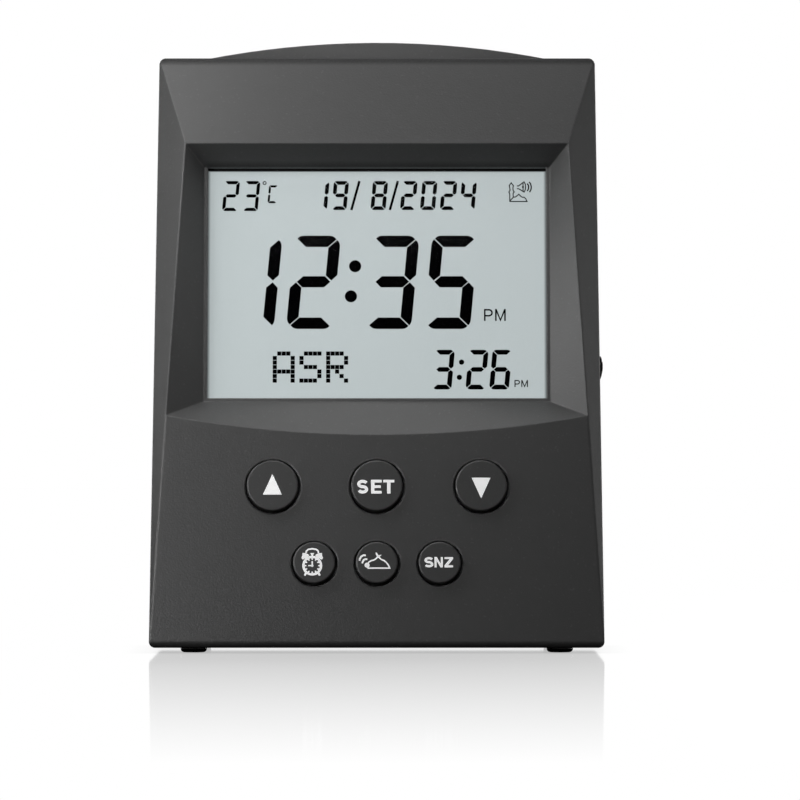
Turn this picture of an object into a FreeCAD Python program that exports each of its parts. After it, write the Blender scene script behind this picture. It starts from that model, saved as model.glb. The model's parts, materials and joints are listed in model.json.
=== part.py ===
"""Azan clock: a leaning desk clock with a sunk display, six round keys and a speaker in its back.

Axes: +X to the clock's right as its user sees it, +Y to its back, +Z up. The origin is on the
table, under the middle of the case. Lengths are in millimetres and angles in degrees.

Two frames carry the pieces. The panel frame leans back with the front panel: its x runs across
the clock, its y runs up the panel, and a depth is measured square to the panel, into the case.
The upright frame is the same without the lean. Both start at the case's lower front edge.
"""

import FreeCAD, Part
import math
import operator
import os

import Sketcher

doc = FreeCAD.newDocument("azan_clock")
driving_sheet = doc.addObject("Spreadsheet::Sheet", "sizes")
derived_sheet = doc.addObject("Spreadsheet::Sheet", "worked_out")


# ---------------------------------------------------------------- sizes that carry their formula

class Size:
    """A number, with the spreadsheet formula that gives it."""

    def __init__(self, value, formula):
        self.value = value
        self.formula = formula

    def __add__(self, other):
        return joined(self, "+", other)

    def __radd__(self, other):
        return joined(other, "+", self)

    def __sub__(self, other):
        return joined(self, "-", other)

    def __rsub__(self, other):
        return joined(other, "-", self)

    def __mul__(self, other):
        return joined(self, "*", other)

    def __rmul__(self, other):
        return joined(other, "*", self)

    def __truediv__(self, other):
        return joined(self, "/", other)

    def __rtruediv__(self, other):
        return joined(other, "/", self)

    def __neg__(self):
        return joined(0, "-", self)


OPERATIONS = {"+": operator.add, "-": operator.sub, "*": operator.mul, "/": operator.truediv}


def as_size(number):
    """A plain number as a Size; a Size is returned as it is."""
    if isinstance(number, Size):
        return number
    return Size(float(number), repr(float(number)))


def joined(left, sign, right):
    """Two sizes joined by an operation, both as a number and as a formula."""
    left = as_size(left)
    right = as_size(right)
    value = OPERATIONS[sign](left.value, right.value)
    return Size(value, f"({left.formula} {sign} {right.formula})")


def cosine(angle):
    return Size(math.cos(math.radians(angle.value)), f"cos({angle.formula})")


def sine(angle):
    return Size(math.sin(math.radians(angle.value)), f"sin({angle.formula})")


def tangent(angle):
    return Size(math.tan(math.radians(angle.value)), f"tan({angle.formula})")


def square_root(number):
    return Size(math.sqrt(number.value), f"sqrt({number.formula})")


def arc_tangent(ratio):
    return Size(math.degrees(math.atan(ratio.value)), f"atan({ratio.formula})")


def store(sheet, alias, content):
    """Writes one named cell into the sheet's next free row."""
    row = len(sheet.getUsedCells()) // 2 + 1
    sheet.set(f"A{row}", alias)
    sheet.set(f"B{row}", content)
    sheet.setAlias(f"B{row}", alias)


def size(alias, number):
    """A driving dimension: a plain number in the sheet called sizes."""
    store(driving_sheet, alias, str(number))
    return Size(float(number), f"sizes.{alias}")


def worked_out(alias, result):
    """A dimension worked out from others, kept under its own name in the second sheet."""
    store(derived_sheet, alias, "=" + result.formula.replace("worked_out.", ""))
    return Size(result.value, f"worked_out.{alias}")


# ---------------------------------------------------------------- driving dimensions

# The case as a whole.
foot_height = size("foot_height", 1.0)
case_width = size("case_width", 86.0)
top_width = size("top_width", 83.8)
case_height = size("case_height", 112.6)
case_depth = size("case_depth", 45.0)
lean = size("lean", 11.0)
header_lean = size("header_lean", 29.4)
brow_up = size("brow_up", 97.7)
facet_width = size("facet_width", 5.46)
crown_rise = size("crown_rise", 3.4)
crown_span = size("crown_span", 68.0)
crown_blend = size("crown_blend", 6.0)
parting_depth = size("parting_depth", 14.0)
wall = size("wall", 2.0)
edge_radius = size("edge_radius", 1.2)
ridge_radius = size("ridge_radius", 0.5)
back_radius = size("back_radius", 1.2)

# The sunk frame and the display behind it. Heights are measured up the panel.
window_width = size("window_width", 66.2)
window_height = size("window_height", 45.8)
window_middle = size("window_middle", 71.1)
recess_depth = size("recess_depth", 4.5)
recess_corner_up = size("recess_corner_up", 44.7)
recess_sag = size("recess_sag", 3.7)
frame_wall = size("frame_wall", 1.6)
ledge_width = size("ledge_width", 0.7)
ledge_thickness = size("ledge_thickness", 1.2)
lens_thickness = size("lens_thickness", 1.2)
lens_overlap = size("lens_overlap", 1.4)
glass_width = size("glass_width", 72.0)
glass_height = size("glass_height", 52.0)
glass_sheet = size("glass_sheet", 1.4)
contact_strip = size("contact_strip", 2.2)
holder_width = size("holder_width", 76.0)
holder_height = size("holder_height", 55.4)
holder_fit = size("holder_fit", 0.2)
guide_margin = size("guide_margin", 2.0)
strip_margin = size("strip_margin", 0.2)
peg_diameter = size("peg_diameter", 1.3)
peg_length = size("peg_length", 1.2)
peg_across = size("peg_across", 37.1)
peg_spread = size("peg_spread", 20.0)
lamp_width = size("lamp_width", 1.0)
lamp_length = size("lamp_length", 3.2)
lamp_height = size("lamp_height", 0.9)

# The circuit board. Its front face lies this far behind the panel.
board_depth = size("board_depth", 12.4)
board_thickness = size("board_thickness", 1.6)
board_margin = size("board_margin", 4.0)
board_bottom = size("board_bottom", 7.0)
board_drop = size("board_drop", 10.9)
board_clearance = size("board_clearance", 0.6)

# Keys and the switches under them.
large_key_diameter = size("large_key_diameter", 9.72)
large_key_pitch = size("large_key_pitch", 19.75)
large_key_up = size("large_key_up", 31.0)
small_key_diameter = size("small_key_diameter", 7.94)
small_key_pitch = size("small_key_pitch", 11.87)
small_key_up = size("small_key_up", 16.2)
key_gap = size("key_gap", 0.35)
hole_round = size("hole_round", 0.3)
key_proud = size("key_proud", 1.2)
key_round = size("key_round", 0.3)
key_flange = size("key_flange", 1.3)
key_flange_thickness = size("key_flange_thickness", 1.0)
key_flange_gap = size("key_flange_gap", 0.1)
key_stem_diameter = size("key_stem_diameter", 4.0)
key_travel = size("key_travel", 0.5)
switch_side = size("switch_side", 6.0)
switch_height = size("switch_height", 3.5)
switch_floor = size("switch_floor", 0.3)
plunger_diameter = size("plunger_diameter", 3.4)
plunger_proud = size("plunger_proud", 1.3)
plunger_depth = size("plunger_depth", 1.5)
running_gap = size("running_gap", 0.1)

# The volume wheel and its potentiometer.
wheel_diameter = size("wheel_diameter", 9.8)
wheel_thickness = size("wheel_thickness", 2.4)
wheel_inset = size("wheel_inset", 4.5)
wheel_up = size("wheel_up", 57.2)
wheel_tooth = size("wheel_tooth", 0.35)
wheel_gap = size("wheel_gap", 0.35)
spindle_diameter = size("spindle_diameter", 2.0)
spindle_end = size("spindle_end", 0.4)
pot_width = size("pot_width", 7.0)
pot_thickness = size("pot_thickness", 1.0)
pot_overhang = size("pot_overhang", 1.6)
pot_gap = size("pot_gap", 0.2)

# The battery bay in the back, for two AA cells, one above the other.
cell_diameter = size("cell_diameter", 14.2)
cell_length = size("cell_length", 49.3)
cell_nub_diameter = size("cell_nub_diameter", 5.5)
cell_nub_length = size("cell_nub_length", 1.2)
cell_pitch = size("cell_pitch", 15.2)
cell_gap = size("cell_gap", 0.4)
bay_bottom = size("bay_bottom", 6.2)
bay_length = size("bay_length", 56.0)
bay_wall = size("bay_wall", 1.5)
contact_thickness = size("contact_thickness", 0.4)
contact_width = size("contact_width", 12.0)
spring_radius = size("spring_radius", 3.9)
door_width = size("door_width", 61.0)
door_thickness = size("door_thickness", 1.8)
door_margin = size("door_margin", 1.6)
door_gap = size("door_gap", 0.3)
door_pin_length = size("door_pin_length", 1.0)
door_pin_diameter = size("door_pin_diameter", 1.2)
thumb_width = size("thumb_width", 12.0)
thumb_height = size("thumb_height", 3.0)
grip_pitch = size("grip_pitch", 1.6)
grip_width = size("grip_width", 0.7)
grip_depth = size("grip_depth", 0.4)
grip_drop = size("grip_drop", 3.0)
tongue_reach = size("tongue_reach", 1.0)
spring_wire = size("spring_wire", 0.7)
spring_taper = size("spring_taper", 1.2)

# The speaker behind the grille.
speaker_diameter = size("speaker_diameter", 36.0)
speaker_height = size("speaker_height", 65.0)
speaker_depth = size("speaker_depth", 9.2)
speaker_rim = size("speaker_rim", 1.2)
speaker_ring = size("speaker_ring", 1.4)
speaker_ring_height = size("speaker_ring_height", 4.0)
speaker_fit = size("speaker_fit", 0.2)
magnet_diameter = size("magnet_diameter", 20.0)
magnet_thickness = size("magnet_thickness", 4.6)
coil_diameter = size("coil_diameter", 11.0)
cone_thickness = size("cone_thickness", 0.5)
cone_drop = size("cone_drop", 2.9)
cap_depth = size("cap_depth", 1.6)
surround_width = size("surround_width", 2.8)
basket_sheet = size("basket_sheet", 0.7)
grille_hole = size("grille_hole", 1.9)
grille_pitch = size("grille_pitch", 4.1)

# Screws and bosses.
case_screw_inset = size("case_screw_inset", 7.8)
case_screw_low = size("case_screw_low", 15.5)
case_screw_drop = size("case_screw_drop", 12.5)
case_boss = size("case_boss", 7.4)
case_screw_diameter = size("case_screw_diameter", 2.6)
case_screw_length = size("case_screw_length", 9.0)
case_head_diameter = size("case_head_diameter", 4.8)
case_head_height = size("case_head_height", 1.8)
case_seat = size("case_seat", 2.5)
head_access = size("head_access", 5.4)
board_boss = size("board_boss", 4.6)
board_screw_diameter = size("board_screw_diameter", 2.0)
board_screw_length = size("board_screw_length", 6.0)
board_head_diameter = size("board_head_diameter", 3.8)
board_head_height = size("board_head_height", 1.3)
screw_gap = size("screw_gap", 0.05)
screw_end = size("screw_end", 0.5)
side_screw_inset = size("side_screw_inset", 5.0)
side_screw_up = size("side_screw_up", 38.0)
low_screw_across = size("low_screw_across", 24.0)
low_screw_up = size("low_screw_up", 10.5)
top_screw_across = size("top_screw_across", 20.0)
top_screw_drop = size("top_screw_drop", 3.0)
drive_slot = size("drive_slot", 0.6)
drive_reach = size("drive_reach", 1.3)
weld = size("weld", 0.25)

# Rubber feet.
foot_diameter = size("foot_diameter", 5.0)
foot_sunk = size("foot_sunk", 0.6)
foot_inset = size("foot_inset", 8.3)
foot_front = size("foot_front", 7.2)
foot_behind = size("foot_behind", 6.5)
foot_round = size("foot_round", 0.7)

# Small electronic pieces on the board.
blob_diameter = size("blob_diameter", 12.0)
blob_height = size("blob_height", 1.6)
blob_flat = size("blob_flat", 5.0)
chip_side = size("chip_side", 5.3)
chip_height = size("chip_height", 1.8)
chip_stand = size("chip_stand", 0.2)
chip_across = size("chip_across", 14.0)
chip_up = size("chip_up", 24.0)
leg_pitch = size("leg_pitch", 1.27)
leg_width = size("leg_width", 0.4)
leg_reach = size("leg_reach", 0.9)
tall_part_across = size("tall_part_across", 28.0)
tall_part_up = size("tall_part_up", 66.0)
crystal_diameter = size("crystal_diameter", 2.0)
crystal_length = size("crystal_length", 6.0)
capacitor_diameter = size("capacitor_diameter", 6.3)
capacitor_height = size("capacitor_height", 5.4)
bead_diameter = size("bead_diameter", 2.4)
lead_diameter = size("lead_diameter", 0.6)
lead_length = size("lead_length", 3.0)


# How far a cut runs past what it cuts, and what counts as the same place.
spare = as_size(10.0)
TOLERANCE = 0.01
KNURLS = 28
GRIPS = 3
GRILLE_RINGS = 4
CHIP_LEGS = 4


# ---------------------------------------------------------------- dimensions worked out from them

cos_lean = worked_out("cos_lean", cosine(lean))
sin_lean = worked_out("sin_lean", sine(lean))
tan_lean = worked_out("tan_lean", tangent(lean))
cos_header = worked_out("cos_header", cosine(header_lean))
tan_header = worked_out("tan_header", tangent(header_lean))
brow_rise = worked_out("brow_rise", brow_up * cos_lean)
brow_set_back = worked_out("brow_set_back", brow_up * sin_lean)
header_set_back = worked_out("header_set_back", brow_set_back + (case_height - brow_rise) * tan_header)
header_top_up = worked_out("header_top_up", case_height * cos_lean + header_set_back * sin_lean)
header_top_depth = worked_out("header_top_depth", header_set_back * cos_lean - case_height * sin_lean)
side_slope = worked_out("side_slope", (case_width - top_width) / 2 / header_top_up)
brow_width = worked_out("brow_width", case_width - 2 * (side_slope * brow_up + facet_width))
ridge_shift = worked_out("ridge_shift", (case_width - brow_width) / 2)
ridge_length = worked_out("ridge_length", square_root(ridge_shift * ridge_shift + brow_up * brow_up))
facet_reach = worked_out(
    "facet_reach",
    (header_top_up * ridge_shift - (case_width - top_width) / 2 * brow_up) / ridge_length,
)
facet_slope = worked_out("facet_slope", header_top_depth / facet_reach)
facet_half = worked_out(
    "facet_half", (square_root(1 + facet_slope * facet_slope) - 1) / facet_slope
)
recess_corner_half = worked_out(
    "recess_corner_half", case_width / 2 - ridge_shift * recess_corner_up / brow_up
)
window_low = worked_out("window_low", window_middle - window_height / 2)
window_high = worked_out("window_high", window_middle + window_height / 2)
lens_front = worked_out("lens_front", recess_depth + ledge_thickness)
glass_front = worked_out("glass_front", lens_front + lens_thickness)
glass_back = worked_out("glass_back", glass_front + 2 * glass_sheet)
board_back = worked_out("board_back", board_depth + board_thickness)
wheel_front = worked_out("wheel_front", board_back + pot_thickness + pot_gap)
key_back = worked_out("key_back", board_depth - switch_height - plunger_proud)
board_width = worked_out("board_width", case_width - 2 * board_margin)
board_top = worked_out("board_top", header_top_up - board_drop)
top_screw_up = worked_out("top_screw_up", board_top - top_screw_drop)
side_screw_across = worked_out("side_screw_across", board_width / 2 - side_screw_inset)
case_screw_across = worked_out("case_screw_across", case_width / 2 - case_screw_inset)
case_screw_high = worked_out("case_screw_high", header_top_up - case_screw_drop)
wheel_across = worked_out("wheel_across", case_width / 2 - wheel_inset)
foot_across = worked_out("foot_across", case_width / 2 - foot_inset)
foot_back = worked_out("foot_back", case_depth - foot_behind)
bay_height = worked_out("bay_height", cell_pitch + cell_diameter + 2 * cell_gap)
door_front = worked_out("door_front", case_depth - door_thickness)
bay_front = worked_out("bay_front", door_front - cell_diameter - 2 * cell_gap)
cell_depth = worked_out("cell_depth", door_front - cell_gap - cell_diameter / 2)
low_cell_rise = worked_out("low_cell_rise", bay_bottom + cell_gap + cell_diameter / 2)
high_cell_rise = worked_out("high_cell_rise", low_cell_rise + cell_pitch)
door_bottom = worked_out("door_bottom", bay_bottom - door_margin)
door_top = worked_out("door_top", bay_bottom + bay_height + door_margin)
door_pivot_rise = worked_out("door_pivot_rise", door_bottom + door_thickness / 2)
door_pivot_depth = worked_out("door_pivot_depth", case_depth - door_thickness / 2)
spring_length = worked_out(
    "spring_length", bay_length - 2 * contact_thickness - cell_length - cell_nub_length
)


# ---------------------------------------------------------------- frames and sketches

def lean_back(body):
    """Puts a body in the panel frame."""
    body.Placement.Rotation = FreeCAD.Rotation(FreeCAD.Vector(1, 0, 0), 90 - lean.value)
    body.setExpression("Placement.Rotation.Angle", (90 - lean).formula)


def stand_up(body):
    """Puts a body in the upright frame."""
    body.Placement.Rotation = FreeCAD.Rotation(FreeCAD.Vector(1, 0, 0), 90)


def move_to(body, across, back, up):
    """Sets where a body's own origin lies in the clock's frame."""
    for axis, distance in zip("xyz", (across, back, up)):
        body.setExpression(f"Placement.Base.{axis}", as_size(distance).formula)


def panel_body(label, across=0, up=0):
    """A body in the panel frame, with its origin at one spot of the panel's surface."""
    body = doc.addObject("PartDesign::Body", label)
    lean_back(body)
    move_to(body, across, up * sin_lean - case_depth / 2, up * cos_lean + foot_height)
    return body


def upright_body(label, across=0, rise=0, depth=0):
    """A body in the upright frame, with its origin at a rise and a depth in the case."""
    body = doc.addObject("PartDesign::Body", label)
    stand_up(body)
    move_to(body, across, depth - case_depth / 2, rise + foot_height)
    return body


def tool_body(label, tilt=None):
    """A body that a boolean feature takes in. It lies in the frame of the body that takes it."""
    body = doc.addObject("PartDesign::Body", label)
    if tilt is not None:
        body.Placement.Rotation = FreeCAD.Rotation(FreeCAD.Vector(1, 0, 0), tilt.value)
        body.setExpression("Placement.Rotation.Angle", tilt.formula)
    return body


def take_in(body, name, kind, tools):
    """Cuts tool bodies out of a body, or fuses them to it."""
    boolean = body.newObject("PartDesign::Boolean", name)
    boolean.Type = kind
    boolean.setObjects(tools)
    return boolean


def to_panel(rise, depth):
    """A point of the upright frame as its way up the panel and its depth behind the panel."""
    return rise * cos_lean + depth * sin_lean, depth * cos_lean - rise * sin_lean


def up_at(rise, depth):
    """How far up the panel a level of the upright frame lies, at a depth behind the panel."""
    return (rise + depth * sin_lean) / cos_lean


def origin_feature(body, role):
    """One of the body's own origin planes or axes, found by its role."""
    return next(item for item in body.Origin.OriginFeatures if item.Role == role)


def new_sketch(body, name, plane, lift=None):
    """A sketch on one of the body's own origin planes, lifted along the plane's normal."""
    sketch = body.newObject("Sketcher::SketchObject", name)
    sketch.AttachmentSupport = [(origin_feature(body, plane), "")]
    sketch.MapMode = "FlatFace"
    if lift is not None:
        sketch.setExpression("AttachmentOffset.Base.z", as_size(lift).formula)
    return sketch


def bind(sketch, constraint, driver):
    """Adds a constraint whose value follows a size."""
    index = sketch.addConstraint(constraint)
    if isinstance(driver, Size):
        sketch.setExpression(f"Constraints[{index}]", driver.formula)


def pin(sketch, geometry, point, place):
    """Holds a point of a sketch at its distances from the sketch's origin."""
    for kind, distance in zip(("DistanceX", "DistanceY"), place):
        value = as_size(distance).value
        bind(sketch, Sketcher.Constraint(kind, -1, 1, geometry, point, value), distance)


def vector(place):
    x, y = place
    return FreeCAD.Vector(as_size(x).value, as_size(y).value, 0)


def outline(corners, bulges=None):
    """Draws a closed outline. A bulge turns the edge after a corner into an arc of that rise."""
    bulges = bulges or {}

    def draw(sketch):
        ends = []
        for index, corner in enumerate(corners):
            following = corners[(index + 1) % len(corners)]
            start = vector(corner)
            stop = vector(following)
            if index in bulges:
                rise = as_size(bulges[index])
                chord = stop - start
                outward = FreeCAD.Vector(chord.y, -chord.x, 0).normalize()
                middle = (start + stop) * 0.5 + outward * rise.value
                edge = sketch.addGeometry(Part.Arc(start, middle, stop), False)
                first_gap = (sketch.getPoint(edge, 1) - start).Length
                swapped = first_gap > (sketch.getPoint(edge, 2) - start).Length
                across = as_size(following[0] - corner[0])
                along = as_size(following[1] - corner[1])
                radius = ((across * across + along * along) / 4 + rise * rise) / (2 * rise)
                radius = radius if radius.value > 0 else -radius
                bind(sketch, Sketcher.Constraint("Radius", edge, radius.value), radius)
            else:
                edge = sketch.addGeometry(Part.LineSegment(start, stop), False)
                swapped = False
            ends.append((edge, 2, 1) if swapped else (edge, 1, 2))
        for index, (edge, first, last) in enumerate(ends):
            next_edge, next_first, _ = ends[(index + 1) % len(ends)]
            sketch.addConstraint(Sketcher.Constraint("Coincident", edge, last, next_edge, next_first))
            pin(sketch, edge, first, corners[index])

    return draw


def box(left, right, low, high):
    """Draws a rectangle between its four limits."""
    return outline([(left, low), (right, low), (right, high), (left, high)])


def centred(width, middle, height):
    """Draws a rectangle that is centred on the clock's middle line."""
    return box(-width / 2, width / 2, middle - height / 2, middle + height / 2)


def disc(across, up, diameter):
    """Draws a circle."""

    def draw(sketch):
        radius = diameter / 2
        geometry = Part.Circle(vector((across, up)), FreeCAD.Vector(0, 0, 1), radius.value)
        edge = sketch.addGeometry(geometry, False)
        pin(sketch, edge, 3, (across, up))
        bind(sketch, Sketcher.Constraint("Radius", edge, radius.value), radius)

    return draw


def drawn(body, name, shapes, plane, lift=None):
    sketch = new_sketch(body, name + "_sketch", plane, lift)
    for shape in shapes:
        shape(sketch)
    return sketch


def grow(body, name, shapes, near, far):
    """Adds material between two depths behind the frame's front plane."""
    pad = body.newObject("PartDesign::Pad", name)
    pad.Profile = drawn(body, name, shapes, "XY_Plane", -as_size(near))
    pad.Reversed = True
    pad.setExpression("Length", (far - near).formula)
    return pad


def cut(body, name, shapes, near, far):
    """Takes material away between two depths behind the frame's front plane."""
    pocket = body.newObject("PartDesign::Pocket", name)
    pocket.Profile = drawn(body, name, shapes, "XY_Plane", -as_size(near))
    pocket.setExpression("Length", (far - near).formula)
    return pocket


def grow_across(body, name, profile, width):
    """Adds material with one side profile, as far to the left of the middle as to the right."""
    pad = body.newObject("PartDesign::Pad", name)
    pad.Profile = drawn(body, name, [profile], "YZ_Plane")
    pad.Midplane = True
    pad.setExpression("Length", width.formula)
    return pad


def cut_across(body, name, profile):
    """Takes one side profile away from the whole width."""
    pocket = body.newObject("PartDesign::Pocket", name)
    pocket.Profile = drawn(body, name, [profile], "YZ_Plane")
    pocket.Type = "ThroughAll"
    pocket.Midplane = True
    return pocket


def mirror(body, name, features):
    """Repeats features on the other side of the clock's middle."""
    copy = body.newObject("PartDesign::Mirrored", name)
    copy.Originals = features
    copy.MirrorPlane = (origin_feature(body, "YZ_Plane"), [""])
    body.Tip = copy
    return copy


def turn(body, name, section, plane="YZ_Plane", axis="V_Axis", lift=None):
    """Adds a turned solid from half of its section."""
    revolution = body.newObject("PartDesign::Revolution", name)
    sketch = drawn(body, name, [section], plane, lift)
    revolution.Profile = sketch
    revolution.ReferenceAxis = (sketch, [axis])
    revolution.Angle = 360
    return revolution


def soften(body, name, radius, wanted):
    """Rounds the edges of the body so far that the test picks."""
    doc.recompute()
    base = body.Tip
    picked = [f"Edge{i + 1}" for i, edge in enumerate(base.Shape.Edges) if wanted(edge)]
    fillet = body.newObject("PartDesign::Fillet", name)
    fillet.Base = (base, picked)
    fillet.setExpression("Radius", as_size(radius).formula)
    return fillet


def same(value, target):
    """Whether a measured length is the target, within the tolerance."""
    return abs(as_size(value).value - as_size(target).value) < TOLERANCE


# ---------------------------------------------------------------- the front shell

def wedge(body, inset, last_depth):
    """The case's front block between its outer planes, each moved inwards by the inset."""
    name = body.Name
    brow_inset_rise = (
        brow_set_back - brow_rise * tan_header + inset * (1 / cos_header - 1 / cos_lean)
    ) / (tan_lean - tan_header)
    top_rise = case_height - inset
    header_depth = brow_set_back + inset / cos_header + (top_rise - brow_rise) * tan_header
    header_corner = to_panel(top_rise, header_depth)
    profile = outline([
        (up_at(inset, inset), -inset),
        (up_at(brow_inset_rise, inset), -inset),
        (header_corner[0], -header_corner[1]),
        (up_at(top_rise, last_depth), -last_depth),
        (up_at(inset, last_depth), -last_depth),
    ])
    grow_across(body, name + "_profile", profile, case_width + wall)

    side_low = -spare
    side_high = header_top_up + spare
    side_base = case_width / 2 - inset
    side = outline([
        (side_base - side_slope * side_low, side_low),
        (case_width, side_low),
        (case_width, side_high),
        (side_base - side_slope * side_high, side_high),
    ])
    side_cut = cut(body, name + "_side", [side], -spare, last_depth + spare)
    facet = outline([
        (-inset * facet_half, -inset),
        (case_width, -inset - (case_width + inset * facet_half) * facet_slope),
        (case_width, spare),
        (-inset * facet_half, spare),
    ])
    facet_cut = body.newObject("PartDesign::Pocket", name + "_facet")
    sketch = drawn(body, name + "_facet", [facet], "XZ_Plane")
    tilt = arc_tangent(ridge_shift / brow_up)
    turned = FreeCAD.Rotation(FreeCAD.Vector(0, 1, 0), tilt.value)
    sketch.AttachmentOffset = FreeCAD.Placement(FreeCAD.Vector(), turned)
    sketch.setExpression("AttachmentOffset.Base.x", (case_width / 2).formula)
    sketch.setExpression("AttachmentOffset.Rotation.Angle", tilt.formula)
    facet_cut.Profile = sketch
    facet_cut.Type = "ThroughAll"
    facet_cut.Midplane = True
    mirror(body, name + "_other_side", [side_cut, facet_cut])


def touches(edge, *points):
    """Whether an edge runs between two points of the shell, given as (across, up, depth)."""
    ends = [vertex.Point for vertex in edge.Vertexes]
    wanted = [FreeCAD.Vector(x.value, up.value, -depth.value) for x, up, depth in points]
    return len(ends) == 2 and all(min((end - spot).Length for end in ends) < 0.05 for spot in wanted)


def frame_section(depth, margin):
    """The sunk frame's opening at a depth, from its rim at the panel to the window below."""
    share = depth / recess_depth
    rest = 1 - share
    low_half = rest * recess_corner_half + share * window_width / 2 + margin
    high_half = rest * brow_width / 2 + share * window_width / 2 + margin
    low = rest * recess_corner_up + share * window_low - margin
    high = rest * brow_up + share * window_high + margin
    corners = [(-low_half, low), (low_half, low), (high_half, high), (-high_half, high)]
    sag = rest * recess_sag
    return outline(corners, {0: sag}) if sag.value > 0.001 else outline(corners)


def frame_loft(body, name, start_depth, margin):
    """Joins two sections of the sunk frame with ruled walls."""
    loft = body.newObject("PartDesign::AdditiveLoft", name)
    rim = frame_section(start_depth, margin)
    floor = frame_section(recess_depth, margin)
    loft.Profile = drawn(body, name + "_rim", [rim], "XY_Plane", -start_depth)
    loft.Sections = [drawn(body, name + "_floor", [floor], "XY_Plane", -recess_depth)]
    loft.Ruled = True
    return loft


def both_sides(places):
    """Each place (across, up) and its mirror image."""
    return [(sign * across, up) for across, up in places for sign in (-1, 1)]


def header_surface(up):
    """The depth of the header's outer face at a height up the panel."""
    return (up - brow_up) * header_top_depth / (header_top_up - brow_up)


CASE_SCREWS = both_sides([(case_screw_across, case_screw_low), (case_screw_across, case_screw_high)])
BOARD_SCREWS = both_sides([
    (side_screw_across, side_screw_up),
    (low_screw_across, low_screw_up),
    (top_screw_across, top_screw_up),
])

LARGE_KEYS = [("key_up", -large_key_pitch), ("key_set", 0), ("key_down", large_key_pitch)]
SMALL_KEYS = [("key_alarm", -small_key_pitch), ("key_azan", 0), ("key_snooze", small_key_pitch)]
KEYS = [(name, across, large_key_up, large_key_diameter) for name, across in LARGE_KEYS]
KEYS += [(name, across, small_key_up, small_key_diameter) for name, across in SMALL_KEYS]


def boss_start(up, diameter):
    """The depth at which a boss starts, inside the wall that it stands on."""
    if up.value + diameter.value / 2 > brow_up.value:
        return header_surface(up + diameter / 2) + weld
    return wall / 2


LOW_CORNER = (case_width / 2, as_size(0), as_size(0))
TOP_CORNER = (top_width / 2, header_top_up, header_top_depth)
BROW_CORNER = (brow_width / 2, brow_up, as_size(0))


def flipped(corner):
    """The corner's mirror image on the clock's left side."""
    return (-corner[0],) + corner[1:]


def is_ridge(edge):
    """Whether an edge bounds the panel at a side facet or at the brow."""
    in_panel = abs(edge.CenterOfMass.z) < TOLERANCE
    return in_panel and (touches(edge, BROW_CORNER) or touches(edge, flipped(BROW_CORNER)))


def is_outer_edge(edge):
    """Whether an edge bounds the block's front or runs back from one of its corners."""
    corners = [LOW_CORNER, TOP_CORNER, flipped(LOW_CORNER), flipped(TOP_CORNER)]
    sides = [(corners[0], corners[1]), (corners[2], corners[3])]
    level = [(corners[0], corners[2]), (corners[1], corners[3])]
    last_depth = max(-vertex.Point.z for vertex in edge.Vertexes)
    reaches_parting = last_depth > parting_depth.value - TOLERANCE
    goes_back = reaches_parting and any(touches(edge, corner) for corner in corners)
    return goes_back or any(touches(edge, *run) for run in sides + level)


def foot_edge_profile():
    """What is taken off the panel's sharp foot to round it, as a side profile."""
    half_corner = (90 - lean) / 2
    run = edge_radius / tangent(half_corner)
    rise = edge_radius * (1 - sine(half_corner))
    panel_end = (run, as_size(0))
    base_end = (run * sin_lean, -run * cos_lean)
    below = (base_end[0] - spare * cos_lean, base_end[1] - spare * sin_lean)
    return outline([panel_end, base_end, below, (-spare, spare), (run, spare)], {0: rise})


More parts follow.
